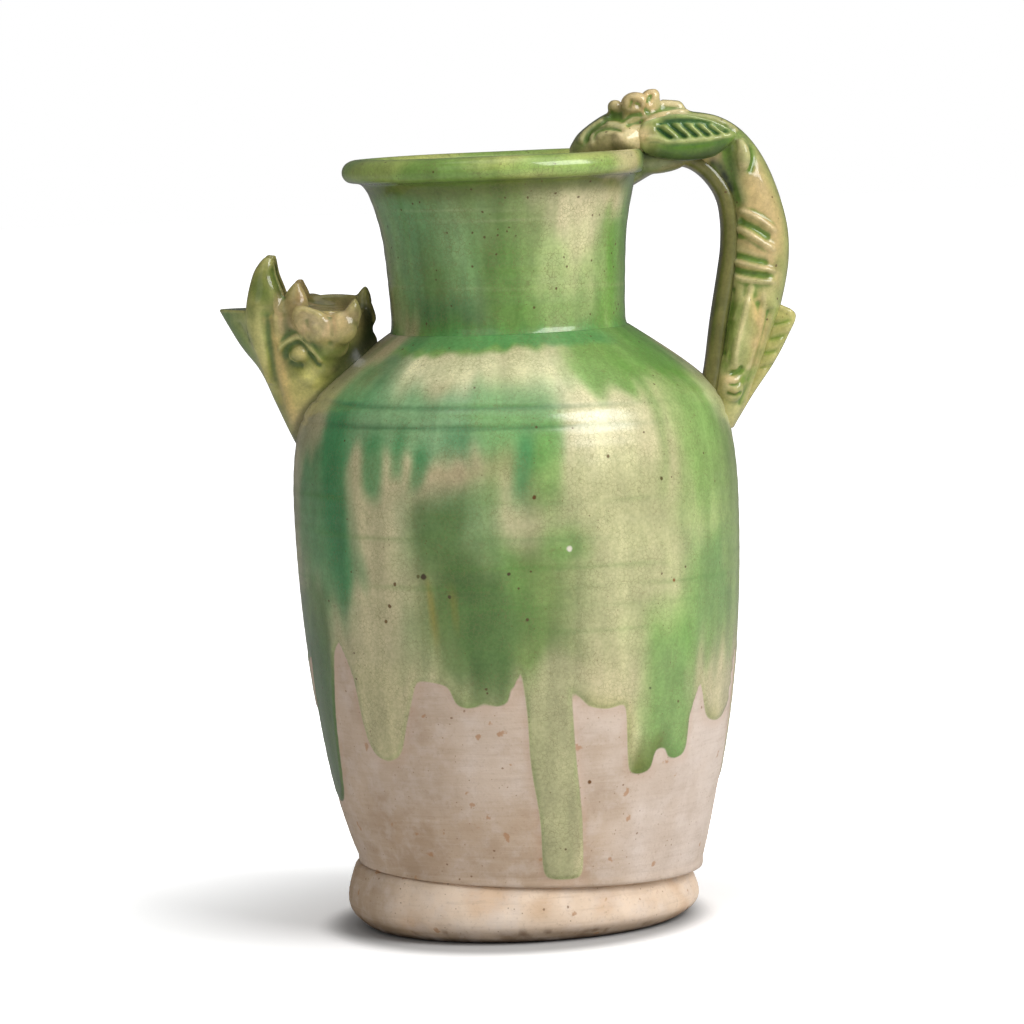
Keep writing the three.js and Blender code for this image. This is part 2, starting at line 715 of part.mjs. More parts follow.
function addPiece(group, name, solid, finish) {
  const { vertProperties, triVerts } = solid.getMesh();
  const geometry = new THREE.BufferGeometry();
  geometry.setAttribute('position', new THREE.BufferAttribute(new Float32Array(vertProperties), 3));
  geometry.setIndex(new THREE.BufferAttribute(new Uint32Array(triVerts), 1));
  geometry.translate(-group.position.x, 0, -group.position.z);
  geometry.computeVertexNormals();
  const mesh = new THREE.Mesh(geometry, new THREE.MeshStandardMaterial({ ...finish, metalness: 0 }));
  mesh.name = name;
  group.add(mesh);
}

const sides = [['left', left], ['right', right]];
const channel = channelForm.solid(0);

const vessel = assembly(0, 0);
addPiece(vessel, 'foot', footSolid(), clay.foot);
addPiece(vessel, 'body', bodySolid(channel), clay.body);
addPiece(vessel, 'neck', neckSolid(0), clay.neck);

const spout = assembly(-shoulderRadius, shoulderHeight);
addPiece(spout, 'spout_head', seated(spoutForm, bodyForm).subtract(channel), clay.spout);
addPiece(spout, 'spout_comb', seated(combForm, spoutForm, bodyForm, neckForm), clay.spout);
sides.forEach(([word, side]) => {
  const [tusk, flange, eye] = [tuskForm(side), flangeForm(side), spoutEyeForm(side)];
  addPiece(spout, `spout_tusk_${word}`, seated(tusk, spoutForm), clay.spout);
  addPiece(spout, `spout_flange_${word}`,
    seated(flange, spoutForm, combForm, bodyForm, neckForm), clay.spoutTrim);
  addPiece(spout, `spout_tooth_${word}`, seated(toothForm(side), spoutForm, tusk, flange), clay.spoutTrim);
  addPiece(spout, `spout_eye_${word}`, seated(eye, spoutForm), clay.spoutTrim);
  addPiece(spout, `spout_brow_${word}`, seated(browForm(side), spoutForm, eye, tusk, flange), clay.spoutTrim);
});

const handle = assembly(shoulderRadius, shoulderHeight);
addPiece(handle, 'handle_strap', seated(strapForm, bodyForm, neckForm), clay.strap);
addPiece(handle, 'dragon_body', seated(beastForm, strapForm, bodyForm, neckForm), clay.beast);
const head = seated(headForm, neckRing, strapForm);
addPiece(handle, 'dragon_head', cutAll(head, [...furrows(left), ...furrows(right)]), clay.beast);
addPiece(handle, 'dragon_crest', seated(crestForm, headForm, beastForm), clay.beast);
const tail = seated(tailForm, beastForm, bodyForm);
addPiece(handle, 'tail_fin', cutAll(tail, [...tailGrooves(left), ...tailGrooves(right)]), clay.beastTrim);
sides.forEach(([word, side]) => {
  const [eye, earFin, hindLeg] = [beastEyeForm(side), earFinForm(side), hindLegForm(side)];
  addPiece(handle, `dragon_eye_${word}`, cutAll(seated(eye, headForm), [pupilForm(side)]), clay.beast);
  addPiece(handle, `dragon_nostril_${word}`, seated(nostrilForm(side), headForm, eye), clay.beast);
  addPiece(handle, `ear_stub_${word}`, seated(earStubForm(side), headForm, eye, crestForm), clay.beast);
  addPiece(handle, `ear_fin_${word}`,
    cutAll(seated(earFin, neckRing, headForm, beastForm, strapForm), earNotches(side)), clay.beastTrim);
  addPiece(handle, `foreleg_${word}`, seated(forelegForm(side), beastForm, strapForm, earFin), clay.beastTrim);
  ribPaths.forEach((path, i) => {
    addPiece(handle, `flank_rib_${i + 1}_${word}`, seated(ribForm(path, side), beastForm), clay.beast);
  });
  addPiece(handle, `hind_leg_${word}`, seated(hindLeg, beastForm, strapForm), clay.beast);
  addPiece(handle, `claw_${word}`,
    seated(clawForm(side), beastForm, strapForm, bodyForm, hindLeg, tailForm), clay.beastTrim);
});

const ewer = new THREE.Group();
ewer.add(vessel, spout, handle);

export default ewer;
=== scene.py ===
# %% [markdown]
# # A glazed ewer with two dragons
#
# This lesson dresses a lead-glazed earthenware ewer: a thrown jar with a flared neck, a hollow
# dragon's head on its shoulder to pour from, and a dragon laid over the strap of the handle that
# bites the rim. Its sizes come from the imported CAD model, which is loaded as a fixed frame. The
# scene adds what the solids leave out: the marks of the wheel and of the modelling tool, the runny
# glaze over bare clay, and the light of a photographer's table.

# %% The frame
import math

import bpy
import numpy as np
from mathutils import Matrix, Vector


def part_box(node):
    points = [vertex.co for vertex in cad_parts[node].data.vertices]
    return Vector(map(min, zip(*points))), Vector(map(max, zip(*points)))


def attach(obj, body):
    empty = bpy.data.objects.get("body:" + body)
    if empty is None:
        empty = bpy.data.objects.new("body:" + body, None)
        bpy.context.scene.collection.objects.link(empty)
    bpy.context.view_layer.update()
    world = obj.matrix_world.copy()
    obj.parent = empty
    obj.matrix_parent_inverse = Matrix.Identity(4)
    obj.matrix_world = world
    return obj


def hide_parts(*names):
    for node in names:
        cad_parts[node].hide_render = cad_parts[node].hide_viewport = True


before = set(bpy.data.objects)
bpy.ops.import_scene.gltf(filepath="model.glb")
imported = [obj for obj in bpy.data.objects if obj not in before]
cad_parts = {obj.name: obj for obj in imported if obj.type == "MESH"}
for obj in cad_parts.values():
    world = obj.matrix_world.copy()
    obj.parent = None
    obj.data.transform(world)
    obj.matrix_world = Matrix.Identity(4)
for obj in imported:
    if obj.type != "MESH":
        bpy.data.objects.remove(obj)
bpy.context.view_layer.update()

MM = 0.001
# %% [markdown]
# ## The camera
#
# The ewer was photographed from well back with a long lens, a little above its middle, so that its
# sides stay straight. A long lens far away and a short one close by can frame it alike, but only
# the long one keeps the mouth a thin ellipse. The camera is tipped by a few degrees, because the
# ewer leans to the left in the picture.

# %% The camera
CAMERA_PLACE = np.array([-1.5, -1696.0, 280.0]) * MM
CAMERA_AIM = np.array([-1.5, 0.0, 135.4]) * MM
CAMERA_ROLL = math.radians(2.4)
IMAGE_SPAN = 339.0 * MM
SENSOR_WIDTH = 36


def add_object(name, data):
    """A new object, linked into the scene."""
    made = bpy.data.objects.new(name, data)
    bpy.context.scene.collection.objects.link(made)
    return made


def set_up(holder, across, up, back, place):
    """Places a camera or lamp by its own axes: across, up, and back, away from what it looks at."""
    matrix = np.eye(4)
    matrix[:3, :3] = np.stack([across, up, back], axis=1)
    matrix[:3, 3] = place
    holder.matrix_world = Matrix(matrix)


def make_camera():
    """Aims a long lens so that the square image spans a given width at the ewer's axis."""
    camera = add_object("camera", bpy.data.cameras.new("camera"))
    look = CAMERA_AIM - CAMERA_PLACE
    distance = np.linalg.norm(look)
    ahead = look / distance
    right = np.cross(ahead, [0.0, 0.0, 1.0])
    right /= np.linalg.norm(right)
    up = np.cross(right, ahead)
    tipped_up = up * math.cos(CAMERA_ROLL) + right * math.sin(CAMERA_ROLL)
    set_up(camera, np.cross(ahead, tipped_up), tipped_up, -ahead, CAMERA_PLACE)
    camera.data.sensor_width = SENSOR_WIDTH
    camera.data.lens = SENSOR_WIDTH * distance / IMAGE_SPAN
    bpy.context.scene.camera = camera
    return camera


camera = make_camera()
print("lens:", round(camera.data.lens), "mm")

# %% [markdown]
# ## Uneven by hand
#
# Nothing that is thrown, modelled and glazed by hand is even. Its wobbles, frayed edges and streaks
# come from sums of sine waves with random directions and phases. A noise picture could bring them
# too, but such a sum is smooth at every point, costs one line, comes out the same on every run, and
# can run round the axis without a seam.

# %% Uneven fields
def soft(value, low, high):
    """Smooth step: 0 below low, 1 above high, and 3t^2 - 2t^3 between them."""
    share = np.clip((value - low) / (high - low), 0, 1)
    return share * share * (3 - 2 * share)


def hump(value, middle, width):
    """A rounded hump of height 1: exp(-((value - middle) / width)^2)."""
    return np.exp(-((value - middle) / width) ** 2)


def ripple(seed, *coordinates, count=12):
    """A smooth random field of about -1 to 1: a sum of sine waves with random directions and phases."""
    random = np.random.default_rng(seed)
    total = 0
    for _ in range(count):
        pull = random.normal(size=len(coordinates))
        phase = random.uniform(0, 2 * np.pi)
        total = total + np.sin(sum(p * c for p, c in zip(pull, coordinates)) + phase)
    return total / math.sqrt(count)


def girth(turn, scale):
    """Two coordinates that run round the axis without a seam: scale times sine and cosine."""
    return scale * np.sin(np.radians(turn)), scale * np.cos(np.radians(turn))


def streak(seed, turn, slowest, fastest):
    """Random stripes round the axis, of about -1 to 1: sines that fit whole times into the circle."""
    random = np.random.default_rng(seed)
    total = 0
    for times in range(slowest, fastest, max(1, (fastest - slowest) // 14)):
        total = total + np.sin(np.radians(times * turn) + random.uniform(0, 2 * np.pi))
    return total / 5


def apart(turn, centre):
    """The angle between two turns, from 0 to 180 degrees."""
    return np.abs((turn - centre + 180) % 360 - 180)


one_field = ripple(1, np.linspace(0, 99, 999))
print("a random field runs from", round(one_field.min(), 2), "to", round(one_field.max(), 2))

# %% [markdown]
# ## Surfaces as arrays
#
# Everything thrown on the wheel is a profile turned about an axis, and everything modelled is a
# stack of rings between two edges. Both are grids of points that numpy works out at once. The same
# short function turns any closed grid into a mesh: neighbouring rings are joined by quads, and each
# end is closed by a fan to one point.

# %% Mesh helpers
def ring_faces(rings, around):
    """Quads between neighbouring rings of a closed grid, counted row by row."""
    here = np.arange(around)[None, :]
    row = np.arange(rings - 1)[:, None] * around
    first, second = row + here, row + (here + 1) % around
    return np.stack([first, second, second + around, first + around], axis=-1).reshape(-1, 4)


def make_mesh(name, points, quads, triangles=np.zeros((0, 3), int)):
    """Puts arrays of points in mm, of quads and of triangles into a smooth mesh in metres."""
    mesh = bpy.data.meshes.new(name)
    corners = np.concatenate([quads.ravel(), triangles.ravel()])
    sizes = np.concatenate([np.full(len(quads), 4), np.full(len(triangles), 3)])
    starts = np.concatenate([[0], np.cumsum(sizes)[:-1]])
    mesh.vertices.add(len(points))
    mesh.vertices.foreach_set("co", (points * MM).astype(np.float32).ravel())
    mesh.loops.add(len(corners))
    mesh.loops.foreach_set("vertex_index", corners.astype(np.int32))
    mesh.polygons.add(len(sizes))
    mesh.polygons.foreach_set("loop_start", starts.astype(np.int32))
    mesh.polygons.foreach_set("use_smooth", np.ones(len(sizes), bool))
    mesh.update(calc_edges=True)
    mesh.validate()
    return mesh


def closed_arrays(grid):
    """Points, quads and triangles of a grid of rings, with a fan to the middle of each end ring."""
    rings, around = grid.shape[:2]
    points = np.concatenate([grid.reshape(-1, 3), grid[[0, -1]].mean(axis=1)])
    here = np.arange(around)
    beside = (here + 1) % around
    last = (rings - 1) * around
    start_fan = np.stack([beside, here, np.full(around, rings * around)], axis=1)
    end_fan = np.stack([here + last, beside + last, np.full(around, rings * around + 1)], axis=1)
    return points, ring_faces(rings, around), np.concatenate([start_fan, end_fan])


def closed_ring(name, grid):
    """A mesh from a grid of rings whose last ring joins the first again, like a tyre."""
    rings, around = grid.shape[:2]
    wrapped = ring_faces(rings + 1, around) % (rings * around)
    return make_mesh(name, grid.reshape(-1, 3), wrapped)


def set_number(mesh, name, values, kind="FLOAT", key="value"):
    """Stores one number for each vertex."""
    attribute = mesh.attributes.new(name, kind, "POINT")
    attribute.data.foreach_set(key, values.astype(np.float32).ravel())


def set_colour(mesh, name, values):
    """Stores one linear colour for each vertex, with an alpha of 1."""
    set_number(mesh, name, np.insert(values, 3, 1.0, axis=1), "FLOAT_COLOR", "color")


def add_piece(mesh, material, replaced):
    """Links a finished mesh as a piece that rides on the root body and stands for CAD nodes."""
    piece = add_object(mesh.name, mesh)
    mesh.materials.append(material)
    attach(piece, "root")
    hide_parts(*replaced)
    mesh.calc_loop_triangles()
    print(piece.name, "has", len(mesh.loop_triangles), "triangles")


def both_hands(names):
    """The names of CAD nodes that come as a left and a right one."""
    return [f"{name}_{hand}" for name in names for hand in ("left", "right")]


print("3 rings of 8 points close with", len(closed_arrays(np.zeros((3, 8, 3)))[2]), "triangles")

# %% [markdown]
# ## Tones of the glaze
#
# A lead glaze is one clear glass. What colours it is a little copper, which turns it green, and a
# little iron, which turns it straw or amber, and both run as the glass melts. The washes of colour
# are therefore laid the way the potter splashed them: a cream coat first, and then one wash after
# another, each with soft sides and a ragged hem. Every tone is given as the display values that the
# fired surface shows, and is made linear when it is laid.

# %% Tones
CREAM = (204, 193, 154)
PALE_CREAM = (219, 215, 174)
SAND = (178, 170, 132)
BLUSH = (190, 172, 138)
STRAW = (170, 164, 110)
LIME = (186, 192, 104)
PALE_GREEN = (158, 182, 112)
SAGE = (120, 146, 92)
OLIVE = (110, 138, 68)
GRASS = (104, 154, 68)
LEAF = (84, 132, 56)
TEAL = (68, 142, 86)
MINT = (108, 168, 116)
DEEP_TEAL = (46, 104, 62)
CLOUD = (82, 114, 56)
DARK_LEAF = (92, 104, 34)
RUST = (152, 132, 50)
CLAY_BUFF = (197, 178, 160)
CLAY_PALE = (216, 203, 194)
CLAY_BROWN = (180, 154, 126)
FOOT_CLAY = (229, 208, 186)


def linear(shown):
    """The linear colour of a surface that shows these display values, from 0 to 255."""
    display = np.array(shown) / 255
    return np.where(display <= 0.04045, display / 12.92, ((display + 0.055) / 1.055) ** 2.4)


def plain(shown, *shape):
    """One tone for every point of an array."""
    return np.broadcast_to(linear(shown), (*shape, 3))


def paint(coat, cover, shown, strength=1.0):
    """Lays a tone over a coat where the cover says so."""
    share = (cover * strength)[..., None]
    return coat * (1 - share) + linear(shown) * share


def smooth_least(a, b, k):
    """The lesser of two fields, with a rounded corner of size k."""
    return -k * np.logaddexp(-a / k, -b / k)


def wash(turn, height, centre, half, low, high, side, foot, head, ragged, seed):
    """How far a poured wash covers each point, from 0 to 1. The distances to its sides, its hem and
    its head, each in widths of its own soft edge, are joined by a smooth least, and a random field
    frays them. The hem hangs in random streaks."""
    hem = low + ragged * streak(seed, turn, 9, 60)
    aside = (half - apart(turn, centre)) / side
    inside = smooth_least(smooth_least(aside, (height - hem) / foot, 0.5), (high - height) / head, 0.5)
    fray = ripple(seed, *girth(turn, 9), height / 9)
    fray = fray + 0.6 * ripple(seed + 500, *girth(turn, 24), height / 7)
    return soft(inside + 0.4 * fray, -1, 1)


def washed(coat, washes, turn, height, first_seed, head=5):
    """Lays washes over a coat, each with a seed of its own. A wash gives its tone, the turn of its
    middle and its half width in degrees, the heights of its hem and head, how soft its sides and its
    hem are, how ragged the hem is, and its strength."""
    for seed, row in enumerate(washes, first_seed):
        shown, centre, half, low, high, side, foot, ragged, strength = row
        cover = wash(turn, height, centre, half, low, high, side, foot, head, ragged, seed)
        coat = paint(coat, cover, shown, strength)
    return coat


print("cream in linear light:", linear(CREAM).round(3))

# %% [markdown]
# ## The thrown profiles
#
# A thrower lifts the wall in one pull, so the body is three smooth curves: the lower wall, the
# upper wall and the shoulder. They are the CAD model's own curves, taken between the same radii and
# heights. They could be spun with a Screw modifier, but a grid made here can also lean, wobble and
# carry the ridges of the fingers, point by point.

# %% Profiles
FOOT_TOP = 18.2
FOOT_LEAN = math.tan(math.radians(3))
FOOT_SHIFT = 2.8
BODY_BASE = 18.5
BASE_RADIUS = 57.2
BELLY_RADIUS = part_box("body")[1].y / MM
BELLY_HEIGHT = FOOT_TOP + 121.2
SHOULDER_RADIUS = 69.6
SHOULDER_HEIGHT = FOOT_TOP + 151.8
MOUTH_RADIUS = 39.5
MOUTH_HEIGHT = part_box("body")[1].z / MM
RIM_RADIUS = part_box("neck")[1].y / MM
RIM_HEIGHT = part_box("neck")[1].z / MM
BODY_WALL = 5.6
NECK_WALL = 5.2


def bezier(*corners, count=60):
    """A curve pulled by four corners, with weights (1-t)^3, 3t(1-t)^2, 3t^2(1-t) and t^3."""
    t = np.linspace(0, 1, count)[:, None]
    a, b, c, d = [np.array(corner, float) for corner in corners]
    return a * (1 - t) ** 3 + b * 3 * t * (1 - t) ** 2 + c * 3 * t * t * (1 - t) + d * t ** 3


def even_steps(path, step):
    """Points at equal distances along a path of [radius, height] points."""
    path = np.array(path, float)
    passed = np.concatenate([[0], np.cumsum(np.linalg.norm(np.diff(path, axis=0), axis=1))])
    stops = np.linspace(0, passed[-1], max(2, int(passed[-1] / step)))
    return np.stack([np.interp(stops, passed, path[:, k]) for k in (0, 1)], axis=1)


def moved_in(path, distance):
    """The same path, moved towards its left by a distance along its normals."""
    slope = np.gradient(path, axis=0)
    slope /= np.linalg.norm(slope, axis=1, keepdims=True)
    return path + distance * np.stack([-slope[:, 1], slope[:, 0]], axis=1)


def rounded_path(points, step=0.5, rounds=3):
    """A path through points with its corners rounded, by averaging each point with its neighbours."""
    path = even_steps(points, step)
    for _ in range(rounds):
        path[1:-1] = (path[:-2] + 2 * path[1:-1] + path[2:]) / 4
    return path


lower_wall = bezier(
    (BASE_RADIUS, BODY_BASE + 2.8),
    (BASE_RADIUS + 0.38 * (BELLY_RADIUS - BASE_RADIUS), BODY_BASE + 23),
    (BELLY_RADIUS, BELLY_HEIGHT - 54.5),
    (BELLY_RADIUS, BELLY_HEIGHT),
)
upper_wall = bezier(
    (BELLY_RADIUS, BELLY_HEIGHT),
    (BELLY_RADIUS, BELLY_HEIGHT + 10.4),
    (SHOULDER_RADIUS + 3, SHOULDER_HEIGHT - 9.2),
    (SHOULDER_RADIUS, SHOULDER_HEIGHT),
)
shoulder = bezier(
    (SHOULDER_RADIUS, SHOULDER_HEIGHT),
    (SHOULDER_RADIUS - 3, SHOULDER_HEIGHT + 7.6),
    (SHOULDER_RADIUS - 13.5, SHOULDER_HEIGHT + 14.9),
    (MOUTH_RADIUS, MOUTH_HEIGHT),
)
body_wall = np.concatenate([lower_wall, upper_wall[1:], shoulder[1:]])


def turned_grid(path, around):
    """Turns a path about the Z axis. A point at turn a has x = r sin a and y = -r cos a, so turn 0
    faces the camera. Returns the turns and heights of the grid, and a function that places radii."""
    turn = np.degrees(np.linspace(-np.pi, np.pi, around, endpoint=False))[None, :]
    radius, height = path[:, :1], path[:, 1:]
    turn = np.broadcast_to(turn, (len(path), around))
    height = np.broadcast_to(height, turn.shape)

    def place(swell=0.0, sink=0.0):
        """The points of the grid, with their radii and heights changed by so much."""
        reach = radius + swell
        angle = np.radians(turn)
        return np.stack([reach * np.sin(angle), -reach * np.cos(angle), height + sink], axis=-1)

    return turn, height, place


def leaned(points, share):
    """Tips points about the Y axis by the lean of the foot joint: z falls with x times the slope."""
    points = points.copy()
    points[..., 2] -= share * FOOT_LEAN * points[..., 0]
    return points


print("body wall:", len(body_wall), "points, belly radius", round(BELLY_RADIUS, 1))

# %% [markdown]
# ## Where the glaze ends
#
# The potter glazed the ewer upside down or by pouring, and stopped well above the foot. In the
# kiln the coat ran, so its hem is a row of tongues: each is as wide as the run that fed it and ends
# in a round, thick tip. A painted mask could show the same outline, but a distance to the hem in
# mm is worth more: it also drives the thickness of the coat, its dark outline and its shine. A
# tongue is the smooth minimum of the distance to its sides and to its tip, and the coat is the
# smooth maximum of all tongues and of the plain hem above them.

# %% The glaze hem
# A degree of turn is about this many mm on the wall.
DEGREE = 1.2

# The distance to the hem where all is glazed and where all is bare.
GLAZED, BARE = 6.0, -6.0

# Each run of glaze: the turn at its root and at its tip, its half width in degrees at both, the
# height of its tip and how round the tip is.
RUNS = [
    (-66, -77.5, 9.5, 7.5, 43, 3), (-40.5, -41.5, 14.5, 6.4, 60, 3.6), (-16, -15.8, 6.5, 4.2, 78.5, 2),
    (-7.5, -7.6, 5.5, 4.2, 79, 2), (5, 10.6, 6.4, 6.2, 21, 1.8), (22, 21.5, 7.5, 4.8, 76.5, 2.2),
    (33.5, 33, 7.0, 3.6, 53.5, 1.8), (40, 40, 8.0, 5.0, 61.5, 1.4), (47, 46.2, 5.2, 3.9, 57.0, 2.0),
    (66, 66, 12, 7.6, 66.5, 3.0), (86, 86.6, 3.4, 2.2, 43.5, 2.0), (101, 103, 7.5, 5.0, 71, 2.6),
    (116, 118, 8, 6, 57, 3.0), (131, 131, 5, 3.2, 75, 2.0), (147, 145, 9, 6.5, 46, 3.0),
    (163, 164, 6.5, 4.6, 66, 2.6), (179, 178, 5.5, 3.8, 79, 2.2), (-168, -166, 9, 6.0, 55, 3.0),
    (-151, -150, 5.2, 3.6, 36, 2.4), (-137, -138, 8, 5.6, 69, 2.6), (-120, -121, 9, 6.6, 60, 3.0),
    (-103, -105, 6, 4.3, 50, 2.4), (-92, -91, 5, 3.6, 72, 2.0),
]
HEM_TURNS = [-180, -95, -70, -61, -56, -52, -30, -20, -2, 0, 13, 17, 28, 30, 51, 55, 58, 75, 79, 95, 180]
HEM_HEIGHTS = [84, 85, 96, 95, 99, 90, 88, 86, 86, 92, 84, 79, 78, 72, 72, 81, 76, 70, 88, 87, 84]
RUN_ROOT = 110.0


def glaze_depth(turn, height):
    """Distance in mm from the hem of the glaze, positive under the glaze and negative on bare clay."""
    turn = turn + 0.7 * ripple(3, *girth(turn, 9), height / 11)
    depth = height - np.interp(turn, HEM_TURNS, HEM_HEIGHTS)
    for root, tip, wide, narrow, low, roundness in RUNS:
        fallen = np.clip((RUN_ROOT - height) / (RUN_ROOT - low), 0, 1.2)
        centre = root + (tip - root) * fallen
        half = wide + (narrow - wide) * fallen
        run = smooth_least((half - apart(turn, centre)) * DEGREE, height - low, roundness)
        depth = -smooth_least(-depth, -run, 1.3)
    return depth


def coat_relief(depth):
    """Height of the coat over the clay in mm: a step at the hem and a thicker bead behind it."""
    return 0.26 * soft(depth, -0.4, 1.4) + 0.2 * hump(depth, 1.7, 1.2)


print("the longest run ends", min(run[4] for run in RUNS), "mm above the table")

# %% [markdown]
# ## Shader maths
#
# A material is a small calculation at every point of the surface. Drawn as nodes it soon becomes a
# web, so one class wraps a socket and lets the calculation be written as plain sums and products.
# Every other node comes from a single method that takes its type, its settings and its inputs, and
# a few short names stand for the nodes that are asked for often.

# %% Values in a shader
class Value:
    """A socket in a node tree. Arithmetic on it adds Math nodes, and node() adds any other kind."""

    def __init__(self, tree, socket=None):
        self.tree = tree
        self.socket = socket

    def node(self, kind, settings=(), inputs=(), output=0):
        """One output of a new node with these settings and with these values at its inputs."""
        made = self.tree.nodes.new(kind)
        for name, setting in dict(settings).items():
            setattr(made, name, setting)
        for key, given in dict(inputs).items():
            if isinstance(given, Value):
                self.tree.links.new(given.socket, made.inputs[key])
            else:
                made.inputs[key].default_value = given
        return Value(self.tree, made.outputs[output])

    def out(self, name):
        """Another output of the same node."""
        return Value(self.tree, self.socket.node.outputs[name])

    def maths(self, operation, *terms):
        """One sum, product or comparison."""
        return self.node("ShaderNodeMath", {"operation": operation}, enumerate(terms))

    def __add__(self, other):
        return self.maths("ADD", self, other)

    def __sub__(self, other):
        return self.maths("SUBTRACT", self, other)

    def __rsub__(self, other):
        return self.maths("SUBTRACT", other, self)

    def __mul__(self, other):
        return self.maths("MULTIPLY", self, other)

    __radd__ = __add__

    def between(self, low, high):
        """Smooth step from 0 at low to 1 at high."""
        limits = {"Value": self, "From Min": low, "From Max": high}
        return self.node("ShaderNodeMapRange", {"interpolation_type": "SMOOTHSTEP"}, limits)

    def mix(self, first, second):
        """The first colour where this value is 0 and the second where it is 1."""
        settings = {"data_type": "RGBA", "blend_type": "MIX"}
        return self.node("ShaderNodeMix", settings, {0: self, 6: first, 7: second}, 2)

    def tinted(self, filter_colour):
        """This colour seen through another, part by part: their product."""
        settings = {"data_type": "RGBA", "blend_type": "MULTIPLY"}
        return self.node("ShaderNodeMix", settings, {0: 1.0, 6: self, 7: filter_colour}, 2)

    def layered(self, *layers):
        """This colour under tones that are laid over it one by one, each by its own share."""
        base = self
        for share, shown in layers:
            base = share.mix(base, colour(linear(shown)))
        return base

    def attribute(self, name, output=0):
        """What the mesh stores for each vertex: output 0 is a colour and output 2 a number."""
        return self.node("ShaderNodeAttribute", {"attribute_name": name}, output=output)

    def place(self):
        """Where a point lies on its object."""
        return self.node("ShaderNodeTexCoord", output=3)

    def asked_by(self, ray):
        """1 where a ray of this kind asks for the colour, and 0 where another does."""
        return self.node("ShaderNodeLightPath").out(ray)

    def vector(self, operation, *terms, output=0):
        """Maths on this place: output 0 is a place again, and output 1 a length or a distance."""
        terms = enumerate([self, *terms])
        return self.node("ShaderNodeVectorMath", {"operation": operation}, terms, output)

    def cloudy(self, scale, detail=3.0, rough=0.6):
        """Noise at this place, finer with a higher scale."""
        settings = {"Vector": self, "Scale": scale, "Detail": detail, "Roughness": rough}
        return self.node("ShaderNodeTexNoise", (), settings)

    def speckled(self, scale, size, part, share):
        """Dots at this place, of a size in widths of a random net's cells, in a share of the cells.
        One part of the random colour of a cell says whether it gets a dot."""
        cell = self.node("ShaderNodeTexVoronoi", {"feature": "F1"}, {"Vector": self, "Scale": scale})
        chance = self.node("ShaderNodeSeparateColor", (), {"Color": cell.out("Color")}, part)
        return (1 - cell.between(size * 0.5, size)) * chance.maths("LESS_THAN", chance, share)


def colour(rgb):
    """A linear colour as the four numbers that a colour socket takes."""
    return (*[float(part) for part in rgb], 1.0)


def new_shading(owner):
    """A value to start the shader maths of a material or a world from, once its nodes are cleared."""
    owner.use_nodes = True
    owner.node_tree.nodes.clear()
    return Value(owner.node_tree)


def send_out(shader, kind):
    """Links a shader to the output of its material or world."""
    output = shader.tree.nodes.new(kind)
    shader.tree.links.new(shader.socket, output.inputs["Surface"])


def finish_material(start, inputs, constants):
    """One glossy or matte surface: linked inputs, and constants set on the shader's own sockets."""
    shader = start.node("ShaderNodeBsdfPrincipled", (), {**constants, **inputs})
    send_out(shader, "ShaderNodeOutputMaterial")


print("cream on a colour socket:", [round(part, 3) for part in colour(linear(CREAM))])

# %% [markdown]
# ## Glaze and clay
#
# One recipe serves every fired surface, because glaze and clay meet on the same wall. The mesh
# brings three values for each vertex: the tone of its coat, the tone of the clay, and the distance
# to the hem of the glaze. The shader adds what is too fine for the mesh. In the glaze that is the
# fine net of crackle, a drift of darker and paler streaks, pinholes and specks of iron. In the clay
# it is the grain, the scratches of the turning tool, scuffs and the stains of handling. The larger
# spots on the front are set one by one, where they lie on the wall. Glass over colour is best told
# by a coat layer: it gives a sharp clear gloss while the colour under it stays soft.

# %% The fired material
# How far noise bends the net of cracks and tears the scuffs, in metres.
WARP, TEAR = 0.0012, 0.006
TOOL_MARKS = (0.10, 0.10, 1.4)
CLAY_ROUGH, GLAZE_ROUGH = 0.86, 0.34
GLASS = 0.9
RELIEF = {"Strength": 0.5, "Distance": 0.0005}

# Marks seen on the front of the ewer: turn, height, radius in mm, and tone.
SPOTS = [
    (12.7, 129, 1.1, (216, 210, 192)), (-24.5, 121.5, 1.1, (70, 58, 34)),
    (-26.0, 121.7, 0.7, (96, 92, 52)), (4.5, 146, 0.8, (92, 62, 30)),
    (17.5, 53, 0.75, (112, 78, 48)), (42.5, 116, 0.8, (132, 88, 44)),
    (39.5, 149, 0.8, (84, 74, 36)), (-35, 112, 0.8, (108, 84, 48)),
    (-36.6, 107, 0.7, (118, 94, 54)), (-18, 115, 0.65, (72, 64, 34)),
    (-2.5, 122, 0.7, (72, 60, 32)), (24.2, 157.5, 0.7, (110, 92, 56)),
    (1.5, 107, 0.6, (84, 68, 36)), (35, 82, 0.7, (70, 84, 44)),
    (-33, 119, 0.6, (110, 88, 54)), (15.5, 167, 0.5, (120, 104, 70)),
]


def spotted(base, place):
    """The wall's colour with its larger spots. Each is moved by half of what bends the places."""
    for turn, height, radius, shown in SPOTS:
        reach = np.interp(height, body_wall[:, 1], body_wall[:, 0])
        sideways, ahead = girth(turn, reach)
        centre = np.array([sideways, -ahead, height]) * MM + WARP / 2
        gap = place.vector("DISTANCE", tuple(centre), output=1)
        base = base.layered((1 - gap.between(radius * 0.6 * MM, radius * 1.2 * MM), shown))
    return base


